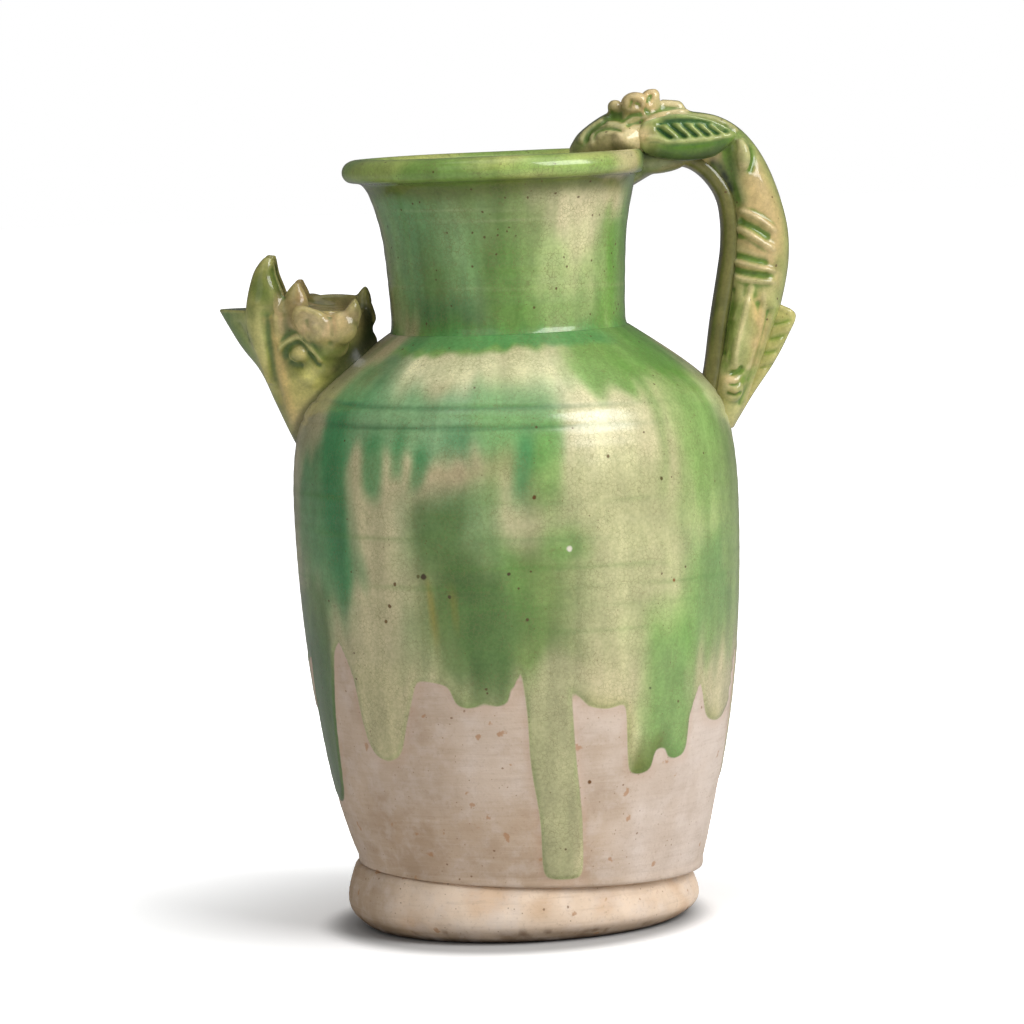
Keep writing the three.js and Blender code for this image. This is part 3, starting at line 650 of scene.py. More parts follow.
def fired_material(name, streaks=(1.0, 1.0, 0.22), crackle=0.42, gleam=0.2, flecks=0.13, on_front=False):
    """Glass where the glaze is deep and clay where it isn't. Streaks stretch the drift along the
    axes, crackle and flecks are amounts, and gleam is the roughness of the glass."""
    material = bpy.data.materials.new(name)
    start = new_shading(material)
    place = start.place()
    depth = start.attribute("glaze_depth", 2)
    covered = depth.between(-0.1, 0.5)
    grain = place.cloudy(900, 2.0)
    mottle = place.cloudy(260)
    drift = place.vector("MULTIPLY", streaks).cloudy(70, 4.0)
    marks = place.vector("MULTIPLY", TOOL_MARKS).cloudy(520, 4.0, 0.65)
    bent_place = mottle.out("Color").vector("MULTIPLY_ADD", [WARP] * 3, place)
    torn_place = mottle.out("Color").vector("MULTIPLY_ADD", [TEAR] * 3, place)
    cracks = start.node("ShaderNodeTexVoronoi", {"feature": "DISTANCE_TO_EDGE"},
                        {"Vector": bent_place, "Scale": 760.0})
    crack = (1 - cracks.between(0.0, 0.08)) * place.cloudy(150, 3.0, 0.55).between(0.30, 0.60)
    specks = bent_place.speckled(260.0, 0.14, 0, flecks)
    fine_specks = place.speckled(620.0, 0.2, 1, 0.10)
    pinholes = place.speckled(420.0, 0.13, 2, 0.14)

    uneven = drift.between(0.30, 0.72) * 0.34 + mottle.between(0.3, 0.7) * 0.18
    uneven = uneven + grain.between(0.3, 0.7) * 0.36
    shade = uneven.mix(colour([1.16, 1.15, 1.13]), colour([0.66, 0.70, 0.60]))
    glass = start.attribute("coat").tinted(shade).layered(
        (crack * crackle, (116, 112, 66)),
        (fine_specks * 0.5, (98, 74, 40)),
        (specks * 0.8, (84, 58, 30)),
    )
    stains = place.cloudy(40, 6.0, 0.62).between(0.36, 0.70)
    worn = stains.mix(colour([1.03, 1.03, 1.03]), colour([0.84, 0.80, 0.75]))
    clay = start.attribute("ground").tinted(worn).layered(
        (place.cloudy(150, 4.0).between(0.42, 0.72) * 0.35, CLAY_PALE),
        (marks.between(0.50, 0.78) * 0.18, (222, 208, 192)),
        (marks.between(0.50, 0.30) * 0.14, (150, 124, 98)),
        (grain.between(0.55, 0.75) * 0.22, (148, 122, 98)),
        (fine_specks * 0.55, (128, 98, 70)),
        (pinholes * 0.6, (140, 102, 70)),
        (torn_place.speckled(170.0, 0.22, 1, 0.34) * 0.62, (168, 120, 78)),
        (specks * 0.7, (116, 82, 54)),
        (depth.between(-4.0, -0.2) * 0.22, (186, 152, 128)),
    )
    base = covered.mix(clay, glass)
    base = spotted(base, bent_place) if on_front else base
    rough = CLAY_ROUGH - covered * (CLAY_ROUGH - GLAZE_ROUGH) + covered * (mottle * 0.12)
    hill = grain * (0.35 - covered * 0.27) + marks * (0.5 - covered * 0.5)
    hill = hill + covered * (mottle * 0.22 - crack * 0.1 - pinholes * 0.5)
    bump = start.node("ShaderNodeBump", (), {"Height": hill, **RELIEF})
    finish_material(
        start, {"Base Color": base, "Roughness": rough, "Coat Weight": covered * GLASS, "Normal": bump},
        {"Coat Roughness": gleam, "Coat IOR": 1.5, "Specular IOR Level": 0.25})
    print("material", name, "has", len(material.node_tree.nodes), "nodes")
    return material


body_fired = fired_material("fired_body", on_front=True)
neck_fired = fired_material("fired_neck", crackle=0.55, gleam=0.13, flecks=0.6)
beast_fired = fired_material("fired_beast", streaks=(1, 1, 1), crackle=0.15, gleam=0.08, flecks=0.22)

# %% [markdown]
# ## Colours of the body
#
# Copper was splashed and poured over the cream coat, and ran down from the neck and the shoulder.
# It pooled in the scored rings and the lines of the turning tool and thinned out between them. Each
# wash stands where the front of the ewer shows one, and those at the back are made up in the same
# manner. The clay is painted paler on the right as painted light and browner on the left as painted
# shade, and it is browner towards the base.

# %% Washes on the body
TURNING_LINES = (144.5, 132.6, 123.6, 117.0, 110.8, 103.0)

# Copper, straw and sand on the coat, with a pale patch that is partly painted highlight, and then the
# tones of the clay, with painted light and shade.
BODY_WASHES = [
    (SAND, -40, 15, 50, 158, 5, 10, 5, 0.15),
    (STRAW, -42, 11, 50, 92, 6, 12, 5, 0.2),
    (BLUSH, -13, 14, 146, 163, 6, 5, 2, 0.85),
    (SAND, 0, 20, 70, 150, 6, 12, 6, 0.6),
    (SAND, 38, 15, 84, 156, 8, 12, 6, 0.45),
    (PALE_GREEN, 28, 18, 96, 160, 9, 14, 8, 0.25),
    # A pale cream patch, partly painted highlight where the key lamp's reflection falls.
    (PALE_CREAM, 24, 13, 156, 190, 7, 8, 3, 0.5),
    (PALE_CREAM, -8, 33, 180, 193, 6, 3, 1, 0.9),
    (TEAL, -55, 15, 174, 193, 5, 4, 1, 0.72),
    (DEEP_TEAL, -50, 7, 182, 193, 4, 3, 1, 0.4),
    (PALE_GREEN, 63, 19, 92, 190, 9, 9, 5, 0.8),
    (GRASS, 60, 9, 128, 200, 8, 12, 5, 0.5),
    (GRASS, 74, 10, 140, 200, 8, 12, 5, 0.4),
    (GRASS, 41, 3, 150, 190, 2.5, 8, 5, 0.5),
    (GRASS, 50, 27, 180, 200, 8, 4, 3, 0.85),
    (GRASS, 84, 14, 92, 168, 9, 10, 6, 0.35),
    (CREAM, 68, 14, 60, 92, 6, 5, 2, 0.85),
    (BLUSH, 76, 10, 88, 95, 6, 2, 1, 0.6),
    (PALE_CREAM, 82, 10, 160, 186, 6, 6, 5, 0.6),
    (PALE_GREEN, 41, 12, 40, 112, 6, 10, 6, 0.9),
    (GRASS, 42, 9, 40, 100, 4, 10, 5, 0.6),
    (SAGE, 43, 8, 40, 96, 4, 10, 5, 0.5),
    (GRASS, 60, 13, 86, 128, 7, 9, 6, 0.55),
    (TEAL, 60, 9, 98, 126, 6, 9, 6, 0.25),
    (SAGE, 62, 14, 90, 126, 7, 7, 6, 0.4),
    (PALE_GREEN, 80, 10, 92, 148, 6, 9, 6, 0.75),
    (SAND, 7, 10, 10, 96, 3, 4, 2, 0.8),
    (SAGE, 6, 8, 10, 112, 3, 4, 2, 0.22),
    (OLIVE, 3, 12, 94, 132, 5, 7, 4, 0.9),
    (LEAF, 1, 6, 102, 128, 4, 5, 3, 0.5),
    (GRASS, 14, 5, 127, 140, 3, 4, 2, 0.6),
    (SAGE, -17, 12, 90, 148, 8, 8, 4, 0.75),
    (TEAL, -16, 12, 126, 149, 8, 7, 3, 0.35),
    (CLOUD, -18, 6.5, 104, 142, 7, 9, 4, 0.72),
    (CLOUD, -13, 8.5, 86, 132, 5, 8, 4, 0.8),
    (CLOUD, -8.5, 7, 82, 120, 4, 7, 3, 0.8),
    (OLIVE, -24, 5, 88, 135, 6, 8, 4, 0.45),
    (MINT, -22, 36, 161, 180.5, 6, 4, 2, 0.8),
    (GRASS, 2, 12, 150, 180, 6, 8, 4, 0.45),
    (TEAL, -52, 6, 118, 179, 3, 7, 4, 0.9),
    (TEAL, -38.5, 2.6, 148, 168, 1.6, 4, 1, 0.8),
    (TEAL, -31.5, 1.4, 155, 168, 1.2, 3, 1, 0.7),
    (TEAL, -25.5, 2.0, 151, 168, 1.4, 4, 1, 0.75),
    (TEAL, -16, 4.0, 157, 168, 2, 4, 1, 0.7),
    (TEAL, 2.5, 2.6, 145, 168, 1.8, 6, 1, 0.75),
    (GRASS, 9, 3.4, 148, 168, 2, 6, 1, 0.6),
    (TEAL, -62, 11, 112, 168, 6, 12, 4, 0.85),
    (DEEP_TEAL, -53, 4, 128, 176, 3, 8, 3, 0.3),
    (CLOUD, -72, 13, 34, 116, 5, 8, 9, 0.92),
    (DEEP_TEAL, -74, 9, 60, 108, 4, 12, 9, 0.35),
    (CLOUD, -80, 9, 30, 74, 3, 6, 5, 0.9),
    (SAGE, -72, 9, 104, 150, 5, 8, 6, 0.5),
    (SAND, -70, 8, 163, 192, 5, 5, 2, 0.75),
    (GRASS, -20, 40, 191.2, 200, 6, 1.2, 0.5, 0.85),
    (GRASS, 8, 24, 192.6, 200, 8, 1.0, 0.5, 0.8),
    (TEAL, -10, 60, 192.6, 200, 8, 1.0, 0.6, 0.6),
    (BLUSH, -58, 6, 188, 205, 4, 3, 1, 0.8),
    (SAGE, 111, 10, 60, 164, 9, 12, 9, 0.75),
    (TEAL, 115, 5, 60, 138, 6, 12, 9, 0.5),
    (TEAL, 148, 17, 48, 184, 7, 12, 8, 0.85),
    (GRASS, 178, 10, 84, 178, 7, 12, 8, 0.7),
    (OLIVE, -160, 12, 56, 140, 6, 12, 8, 0.75),
    (TEAL, -142, 12, 96, 184, 7, 12, 8, 0.85),
    (LEAF, -118, 11, 60, 172, 7, 12, 8, 0.8),
    (SAND, -100, 8, 96, 168, 6, 12, 6, 0.7),
    (GRASS, 150, 90, 190, 200, 8, 2, 0.4, 0.8),
    (DARK_LEAF, 33, 6, 40, 60.5, 2, 3, 1, 0.95),
    (LEAF, 46.5, 4.5, 40, 63, 2, 3, 1, 0.7),
    (STRAW, 21, 7, 60, 80, 3, 3, 1, 0.6),
    (STRAW, 66, 14, 50, 71, 5, 3, 1, 0.7),
    (OLIVE, -16, 5, 60, 83, 2, 3, 1, 0.5),
    (RUST, -24.2, 0.9, 99, 120, 0.8, 8, 0, 0.55),
    (RUST, -17.6, 0.6, 104, 114, 0.8, 5, 0, 0.4),
]
# The clay: paler on the right as painted light, browner on the left as painted shade, and browner low
# down at the front, the left and the back.
GROUND_WASHES = [
    (CLAY_PALE, 58, 34, 20, 96, 20, 8, 0, 0.6),
    (CLAY_BROWN, -20, 46, 10, 46, 16, 8, 2, 0.5),
    (CLAY_BROWN, -50, 24, 34, 84, 12, 9, 2, 0.3),
    (CLAY_BROWN, 150, 60, 10, 60, 20, 9, 2, 0.4),
]


def mottled(seed, turn, height):
    """Uneven thickness of a wash: a factor near 1 that varies in clouds and in hanging streaks."""
    clouds = ripple(seed, *girth(turn, 16), height / 6) + ripple(seed + 1, *girth(turn, 34), height / 5)
    streaks = ripple(seed + 2, *girth(turn, 40), height / 26)
    return (1 + 0.05 * clouds + 0.05 * streaks)[..., None]


def body_coat(turn, height, depth, scored):
    """The tones of the coat: the washes, the scored rings, the turning lines and the dark hem."""
    bent = turn + 1.6 * ripple(11, *girth(turn, 8), height / 16)
    calm = 1 - 0.8 * soft(height, 160, 178)
    shifted = height + 2.6 * calm * ripple(12, *girth(turn, 7), height / 20)
    coat = washed(plain(CREAM, *turn.shape), BODY_WASHES, bent, shifted, 20)
    pooled = np.clip(scored, 0, 1) * (1 - soft(turn, 0, 60)) * (1 - soft(-turn, 54, 66))
    coat = paint(coat, pooled, DEEP_TEAL, 0.5)
    lines = sum(hump(height + 0.03 * turn, level, 0.8) for level in TURNING_LINES)
    coat = paint(coat, lines * soft(ripple(13, *girth(turn, 5), height / 3), -0.3, 1.2), LEAF, 0.32)
    coat = paint(coat, hump(depth, 0.7, 0.6), OLIVE, 0.30)
    return coat * mottled(51, turn, height)


def body_ground(turn, height):
    """The tones of the clay, with painted light and shade across it and a little grain."""
    ground = washed(plain(CLAY_BUFF, *turn.shape), GROUND_WASHES, turn, height, 301, 9)
    return ground * (1 + 0.025 * ripple(305, *girth(turn, 12), height / 5))[..., None]


print(len(BODY_WASHES), "washes on the coat and", len(GROUND_WASHES), "on the clay")

# %% [markdown]
# ## The body
#
# The body is the thrown jar: a clay wall with faint ridges left by the fingers, a plain band at its
# base where it was cut off the wheel, and two rings scored round the shoulder while it turned. Its
# glaze stands on the wall as a thin step with a thicker bead along its hem. All of this is laid out
# on the grid of the wall and moves its points. The bare inside runs on from the mouth, so that one
# closed mesh has both sides of the wall.

# %% The body
BODY_AROUND = 400
RING_HEIGHTS = (174.2, 168.0)
RIDGE_PITCH = 5.5
LEAN_FADE = 22


def tipped(points, height):
    """Tips the bottom of the wall as the joint with the foot is tipped, and less and less above it."""
    return leaned(points, np.clip((BODY_BASE + LEAN_FADE - height) / LEAN_FADE, 0, 1))


def body_outside():
    """The outer wall with its ridges, scored rings and coat: turns, heights and points, the distance
    to the hem, and where the rings are scored."""
    corner = [(BASE_RADIUS - 2, BODY_BASE), (BASE_RADIUS, BODY_BASE), (BASE_RADIUS, BODY_BASE + 3)]
    path = even_steps(np.concatenate([rounded_path(corner), body_wall]), 0.9)
    turn, height, place = turned_grid(path, BODY_AROUND)
    depth = glaze_depth(turn, height)
    spiral = (height + turn / 360 * RIDGE_PITCH) * 2 * np.pi / RIDGE_PITCH
    ridges = 0.035 * np.sin(spiral) * (0.6 + 0.4 * ripple(5, height / 14))
    scratches = 0.03 * np.sin(3 * spiral + 2 * ripple(6, height / 9)) * (depth < 0)
    wobble = 0.22 * ripple(7, *girth(turn, 1.5), height / 45)
    scored = sum(hump(height + 0.022 * turn, level, 0.8) for level in RING_HEIGHTS)
    filled = 1 - 0.75 * soft(turn, 4, 22) * (1 - soft(turn, 70, 90))
    thrown = soft(height, BODY_BASE + 2, BODY_BASE + 9)
    swell = (ridges + scratches + wobble) * thrown - 0.5 * scored * filled + coat_relief(depth)
    return turn, height, tipped(place(swell), height), depth, scored


def body_inside():
    """The bare inside, from the mouth down to the middle of the floor."""
    floor = BODY_BASE + 7
    wall = moved_in(body_wall, BODY_WALL)[::-1]
    wall = wall[wall[:, 1] > floor + 2]
    path = even_steps([(MOUTH_RADIUS - NECK_WALL, MOUTH_HEIGHT), *wall, (45, floor), (2, floor)], 9)
    turn, height, place = turned_grid(path, BODY_AROUND)
    return tipped(place(), height)


def make_body(material):
    """Both sides of the wall as one mesh. The inside and the two closed ends are bare clay."""
    turn, height, outside, depth, scored = body_outside()
    inside = body_inside()
    mesh = make_mesh("body_glazed", *closed_arrays(np.concatenate([outside, inside])))
    bare = inside[..., 0].size + 2
    set_number(mesh, "glaze_depth", np.concatenate([depth.ravel(), np.full(bare, BARE)]))
    looks = {"coat": body_coat(turn, height, depth, scored), "ground": body_ground(turn, height)}
    for name, tones in looks.items():
        set_colour(mesh, name, np.concatenate([tones.reshape(-1, 3), plain(CLAY_BUFF, bare)]))
    add_piece(mesh, material, ["body"])


make_body(body_fired)

# %% [markdown]
# ## The neck
#
# The neck was thrown by itself, flared like a trumpet and folded over into a rolled lip, which is
# pressed flat where the handle was luted on. It is one closed profile: up the outside, round the
# roll and down the bore. Its glaze is thick, so the green hangs in soft vertical curtains. It is
# pale on the roll, where it drained away, and vivid where the neck meets the shoulder, and the
# crease under the roll is painted dark as painted shade.

# %% The neck
NECK_AROUND = 360
RIM_PRESSED, RIM_SOFTNESS = 47.4, 3.6
NECK_LINES = (236.5, 233, 211)
NECK_WASHES = [
    (SAGE, -27, 30, 190, 248, 10, 6, 0, 0.9),
    (LEAF, -50, 20, 190, 262, 9, 6, 0, 0.5),
    (SAGE, -66, 12, 206, 250, 8, 8, 0, 0.5),
    (MINT, -20, 14, 204, 238, 9, 9, 3, 0.36),
    (LEAF, -36, 24, 190, 217, 10, 7, 5, 0.25),
    (DEEP_TEAL, -36, 20, 190, 209, 10, 7, 6, 0.45),
    (PALE_GREEN, -24, 12, 216, 242, 9, 9, 4, 0.16),
    (MINT, -57, 12, 200, 244, 8, 8, 0, 0.5),
    (CREAM, 40, 19, 219, 247, 8, 6, 4, 0.9),
    (PALE_CREAM, 36, 14, 226, 247, 7, 5, 3, 0.2),
    (BLUSH, 42, 13, 226, 246, 9, 7, 3, 0.25),
    (GRASS, -76, 13, 206, 262, 8, 9, 0, 0.45),
    (OLIVE, 3, 14, 190, 248, 9, 6, 0, 0.8),
    (LEAF, 2, 12, 206, 226, 7, 6, 0, 0.4),
    (GRASS, 4, 9, 192, 232, 7, 8, 0, 0.3),
    (PALE_GREEN, 24, 12, 200, 228, 8, 8, 3, 0.75),
    (GRASS, 34, 26, 190, 208, 9, 6, 3, 0.6),
    (PALE_GREEN, 38, 12, 204, 222, 8, 6, 3, 0.5),
    (GRASS, 55, 9, 194, 226, 6, 8, 3, 0.6),
    (GRASS, 70, 22, 190, 236, 9, 9, 3, 0.8),
    (GRASS, 84, 16, 190, 248, 9, 9, 3, 0.6),
    (LEAF, 108, 20, 190, 262, 9, 6, 0, 0.7),
    (OLIVE, 150, 18, 190, 262, 9, 6, 0, 0.7),
    (TEAL, -172, 18, 190, 262, 9, 6, 0, 0.7),
    (GRASS, -135, 14, 190, 262, 9, 6, 0, 0.7),
    (CLOUD, -102, 18, 190, 262, 9, 6, 0, 0.75),
    (GRASS, 10, 170, 190, 197.4, 9, 2, 1, 0.7),
    (TEAL, 0, 178, 188, 195.4, 9, 2, 1, 0.62),
    (BLUSH, -57, 5, 186, 200, 4, 4, 1, 0.7),
]
LIP_WASHES = [
    (LEAF, -40, 34, 244, 262, 10, 2, 0, 0.4),
    (BLUSH, 56, 9, 244, 262, 6, 2, 0, 0.7),
    (SAGE, 92, 26, 236, 262, 6, 4, 0, 0.8),
]


def neck_path():
    """Up the wall of the neck, round the rolled lip and down the bore, as one closed path."""
    wall = [(MOUTH_RADIUS + 3.0, MOUTH_HEIGHT - 3.6), (MOUTH_RADIUS + 0.9, MOUTH_HEIGHT - 1.6),
            (39.1, MOUTH_HEIGHT + 0.3), (38.85, 197.8), (38.8, 203), (39.2, 210.8), (39.7, 218.8),
            (40.4, 226.7), (41.4, 232), (42.7, 237.3), (44.4, 242.4)]
    lip = [(46.6, 245.8), (51.2, 246.3), (RIM_RADIUS - 0.2, 248.2), (RIM_RADIUS, 250.2),
           (RIM_RADIUS - 1.0, 252.4), (RIM_RADIUS - 3.2, 253.6), (RIM_RADIUS - 5.6, RIM_HEIGHT),
           (RIM_RADIUS - 8.2, 252.6)]
    bore = [(41.4, 247.8), (38.6, 241), (36.6, 234), (35.0, 224), (34.4, 212), (34.3, MOUTH_HEIGHT - 0.2)]
    return rounded_path([*wall, *lip, *bore], 0.8, 3)


def neck_coat(turn, height, inside, lines):
    """The tones of the coat: curtains, pale turning lines, painted shade in the crease under the lip, and
    the lip.
    """
    bent = turn + 2.2 * ripple(33, *girth(turn, 6), height / 18)
    coat = washed(plain(CREAM, *turn.shape), NECK_WASHES, bent, height, 70)
    coat = paint(coat, lines, PALE_CREAM, 0.16)
    # Painted shade in the crease under the lip.
    under = soft(height, 238, 244.5) * (1 - soft(height, 246.3, 248.5)) * (1 - inside)
    coat = paint(coat, under, DARK_LEAF, 0.88)
    lip = soft(height, 245.5, 248.5) * (1 - 0.5 * inside)
    coat = paint(coat, lip, LIME, 0.8)
    coat = paint(coat, lip * soft(ripple(36, *girth(turn, 7), height / 3), -0.7, 0.9), GRASS, 0.62)
    return washed(coat, LIP_WASHES, turn, height, 88, 4) * mottled(61, turn, height)


def make_neck(material):
    """The neck with its ridges and turning lines, its uneven lip, and the side pressed flat."""
    turn, height, place = turned_grid(neck_path(), NECK_AROUND)
    crest = int(np.argmax(height[:, 0]))
    inside = soft(np.arange(len(turn))[:, None], crest + 2, crest + 8)
    ridges = 0.04 * np.sin((height + turn / 72) * 2 * np.pi / 6.1) * (1 - soft(height, 240, 246))
    lines = sum(hump(height + 0.015 * turn, level, 0.5) for level in NECK_LINES)
    lines = lines * soft(ripple(34, *girth(turn, 4), height), -0.8, 1.2) * (1 - inside)
    swell = ridges * (1 - inside) + 0.18 * ripple(31, *girth(turn, 1.5), height / 30) + 0.08 * lines
    points = place(swell, 0.2 * ripple(32, *girth(turn, 2)) * soft(height, 240, 250))
    points[..., 0] = smooth_least(points[..., 0], RIM_PRESSED, RIM_SOFTNESS)
    mesh = closed_ring("neck_glazed", points)
    set_number(mesh, "glaze_depth", np.full(turn.size, GLAZED))
    set_colour(mesh, "coat", neck_coat(turn, height, inside, lines).reshape(-1, 3))
    add_piece(mesh, material, ["neck"])


make_neck(neck_fired)

# %% [markdown]
# ## The foot
#
# The foot is a thick slab with a rolled edge, turned by itself and luted on a little off centre and
# out of level, which is why the joint runs down towards the handle. It was never glazed. Its edge is
# rubbed and a little chipped, so the grid is pressed in where noise and the corner meet. The clay is
# wiped in places and stained. Its left side is painted darker as painted shade, and its bottom is
# painted darker towards the table, as dirt and as painted shade.

# %% The foot
FOOT_AROUND = 400
FOOT_EDGE = [
    (2, 0), (50.6, 0), (52.6, 0.7), (54.6, 2.2), (57.2, 4.4), (58.3, 7.0), (58.1, 10.0),
    (57.2, 13.2), (56.1, 16.2), (55.0, 18.6), (50, 18.8), (2, 18.8),
]
# Painted shade on the left side of the foot.
FOOT_SHADE_WASHES = [((158, 136, 112), -76, 36, -9, 40, 14, 4, 0, 0.7)]


def foot_ground(turn, height, worn):
    """Clay tones: rubbed and wiped patches, painted shade on the left, dirt and painted shade at the
    bottom, stains, the worn edge.
    """
    rubbed = soft(ripple(43, *girth(turn, 9), height / 4), 0.1, 1.2)
    wiped = soft(ripple(45, *girth(turn, 6), height / 5), 0.2, 1.3)
    dirt_and_shade = np.clip(0.8 + 0.2 * ripple(46, *girth(turn, 11), height / 3), 0, 1)
    stained = soft(ripple(47, *girth(turn, 34), height / 1.3), 0.5, 1.5) * hump(height, 3.2, 1.8)
    ground = paint(plain(FOOT_CLAY, *turn.shape), rubbed, (208, 170, 130), 0.45)
    ground = paint(ground, wiped, (240, 226, 210), 0.55)
    ground = washed(ground, FOOT_SHADE_WASHES, turn, height, 44, 4)
    for cover, shown, strength in [
        # Dirt and painted shade darken the foot towards the table: a band up the chamfer and a darker
        # line at the very bottom.
        ((1 - soft(height, 2.4, 6.8)) * dirt_and_shade, (146, 122, 96), 0.85),
        (1 - soft(height, 0.6, 2.4), (86, 70, 54), 0.8),
        (stained, (104, 76, 52), 0.75),
        (worn, (118, 92, 66), 0.8),
    ]:
        ground = paint(ground, cover, shown, strength)
    return ground


def make_foot(material):
    """The slab, turned as it was on the wheel, and then set off centre and tipped."""
    turn, height, place = turned_grid(rounded_path(FOOT_EDGE, 0.8, 3), FOOT_AROUND)
    worn = soft(ripple(41, *girth(turn, 14), height / 2), 0.5, 1.6) * hump(height, 1.2, 1.6)
    swell = 0.12 * ripple(42, *girth(turn, 3), height / 9) - 0.5 * worn
    swell = swell + 0.05 * np.sin(height * 2 * np.pi / 1.7)
    points = place(swell * (height > 0.3))
    points[..., 0] -= FOOT_SHIFT
    points = leaned(points, np.clip(height / FOOT_TOP, 0, 1))
    mesh = make_mesh("foot_clay", *closed_arrays(points))
    set_number(mesh, "glaze_depth", np.full(len(mesh.vertices), BARE))
    ground = foot_ground(turn, height, worn).reshape(-1, 3)
    set_colour(mesh, "ground", np.concatenate([ground, plain(CLAY_BROWN, 2)]))
    add_piece(mesh, material, ["foot"])


make_foot(body_fired)

# %% [markdown]
# ## Modelling by hand
#
# The two dragons were pressed from moulds and finished with a tool: soft swellings, with lines
# drawn into the wet clay. Each swelling is a stack of rounded rings between two edges of the side
# view, which is how the solids were drawn too. They could be sculpted freely, but rows of edge
# points are easy to read off a side view, and they keep the beasts on the outlines of the solids.

# %% Modelled forms
HANDLE_SIDE, SPOUT_SIDE = 1, -1


def through(points, count):
    """A smooth curve through rows of numbers: cubic pieces a(1+2t)(1-t)^2 + p t(1-t)^2 +
    b t^2(3-2t) - q t^2(1-t), where a slope p or q is the mean of the steps to both neighbours."""
    rows = np.array(points, float)
    slopes = np.gradient(rows, axis=0)
    stops = np.linspace(0, len(rows) - 1, count)
    k = np.minimum(stops.astype(int), len(rows) - 2)
    t = (stops - k)[:, None]
    start = rows[k] * (1 + 2 * t) * (1 - t) ** 2 + slopes[k] * t * (1 - t) ** 2
    return start + rows[k + 1] * t * t * (3 - 2 * t) - slopes[k + 1] * t * t * (1 - t)


def rounded(value, power):
    """The value's size to a power, with its sign kept: a power below 1 squares a circle's corners."""
    return np.sign(value) * np.abs(value) ** power


def loft(side, half, stations, middle=0.0, square=1.0, beak=0.0, steps=72, around=84):
    """Rings between two edges of the side view. A station gives the out and up of its inner and of
    its outer edge point, its share of the half width and, if need be, of the middle. At angle a a
    ring has middle of the edges + half their distance times rounded(cos a), and half width times
    rounded(sin a) across. A beak draws the outer side of the last rings to a point."""
    rows = through([(*row, 1.0)[:6] for row in stations], steps)
    angle = np.linspace(0, 2 * np.pi, around, endpoint=False)[None, :]
    share = np.linspace(0, 1, steps)[:, None]
    along = rounded(np.cos(angle), square)
    power = square * (1 + beak * share * (np.cos(angle) > 0))
    out, up = [(rows[:, k, None] + rows[:, k + 2, None]) / 2
               + (rows[:, k + 2, None] - rows[:, k, None]) / 2 * along for k in (0, 1)]
    across = middle * rows[:, 5:6] + half * rows[:, 4:5] * rounded(np.sin(angle), power)
    return np.stack([side * (SHOULDER_RADIUS + out), across, SHOULDER_HEIGHT + up], axis=-1)


def pellet(side, out, up, across, radii):
    """An egg of clay with the given radii, as rings from pole to pole."""
    rise = np.linspace(0, np.pi, 30)[1:-1, None]
    angle = np.linspace(0, 2 * np.pi, 36, endpoint=False)[None, :]
    shape = np.stack([np.sin(rise) * np.cos(angle), np.sin(rise) * np.sin(angle),
                      np.cos(rise) + 0 * angle], axis=-1)
    return shape * radii + [side * (SHOULDER_RADIUS + out), across, SHOULDER_HEIGHT + up]


def width_at(grid, out, up):
    """How far a form reaches to the side at a point of the side view."""
    spots = grid.reshape(-1, 3)
    gap = np.hypot(np.abs(spots[:, 0]) - SHOULDER_RADIUS - out, spots[:, 2] - SHOULDER_HEIGHT - up)
    return np.abs(spots[np.argmin(gap), 1])


def body_core():
    """The body as a plain solid, a little inside its outer wall, to cut the roots of the beasts."""
    _, _, place = turned_grid(even_steps(moved_in(body_wall, 1.6), 2.5), 160)
    return place()


print("body core:", len(body_core()), "rings")

# %% [markdown]
# ## Melting the forms together
#
# Laid side by side, the swellings would look assembled, so they are melted together as wet clay is:
# a voxel remesh gives all of them one skin. Booleans first open a channel through it, or cut off
# what would stand inside the wall of the body, and a second remesh evens the skin again. Metaballs
# would melt too, but they swell at every join and have no sharp rims.

# %% Melted meshes
NO_QUADS = np.zeros((0, 4), int)


def rows_of(items, name, kind=float, columns=3):
    """One property of all items of a mesh, as an array with a row for each."""
    values = np.empty(len(items) * columns, kind)
    items.foreach_get(name, values)
    return values.reshape(-1, columns)


def mesh_arrays(mesh):
    """The points in mm and the triangles of a mesh."""
    mesh.calc_loop_triangles()
    return rows_of(mesh.vertices, "co") / MM, NO_QUADS, rows_of(mesh.loop_triangles, "vertices", int)


def joined(name, grids, mesh=None):
    """One mesh from closed grids, and from a mesh, that may run into each other."""
    parts = [closed_arrays(grid) for grid in grids] + ([mesh_arrays(mesh)] if mesh else [])
    starts = np.cumsum([0] + [len(part[0]) for part in parts])
    points = np.concatenate([part[0] for part in parts])
    quads, triangles = [
        np.concatenate([part[k] + start for part, start in zip(parts, starts)]) for k in (1, 2)]
    return make_mesh(name, points, quads, triangles)


def modified(mesh, kind, **settings):
    """The mesh that one modifier makes of another, which it replaces."""
    holder = add_object("holder", mesh)
    modifier = holder.modifiers.new("step", kind)
    for name, setting in settings.items():
        setattr(modifier, name, setting)
    result = bpy.data.meshes.new_from_object(holder.evaluated_get(bpy.context.evaluated_depsgraph_get()))
    bpy.data.objects.remove(holder)
    bpy.data.meshes.remove(mesh)
    return result


def melted(name, grids, voxel, cuts=(), added=()):
    """One skin round all the grids, less those that are cut away, and then round the added ones."""
    skin = dict(mode="VOXEL", voxel_size=voxel * MM, use_smooth_shade=True)
    mesh = modified(joined(name, grids), "REMESH", **skin)
    for cut in cuts:
        cutter = add_object("cutter", joined("cutter", [cut]))
        mesh = modified(mesh, "BOOLEAN", operation="DIFFERENCE", solver="MANIFOLD", object=cutter)
        bpy.data.meshes.remove(cutter.data)
    if cuts or added:
        whole = joined(name, added, mesh)
        bpy.data.meshes.remove(mesh)
        mesh = modified(whole, "REMESH", **skin)
    mesh.name = name
    return mesh


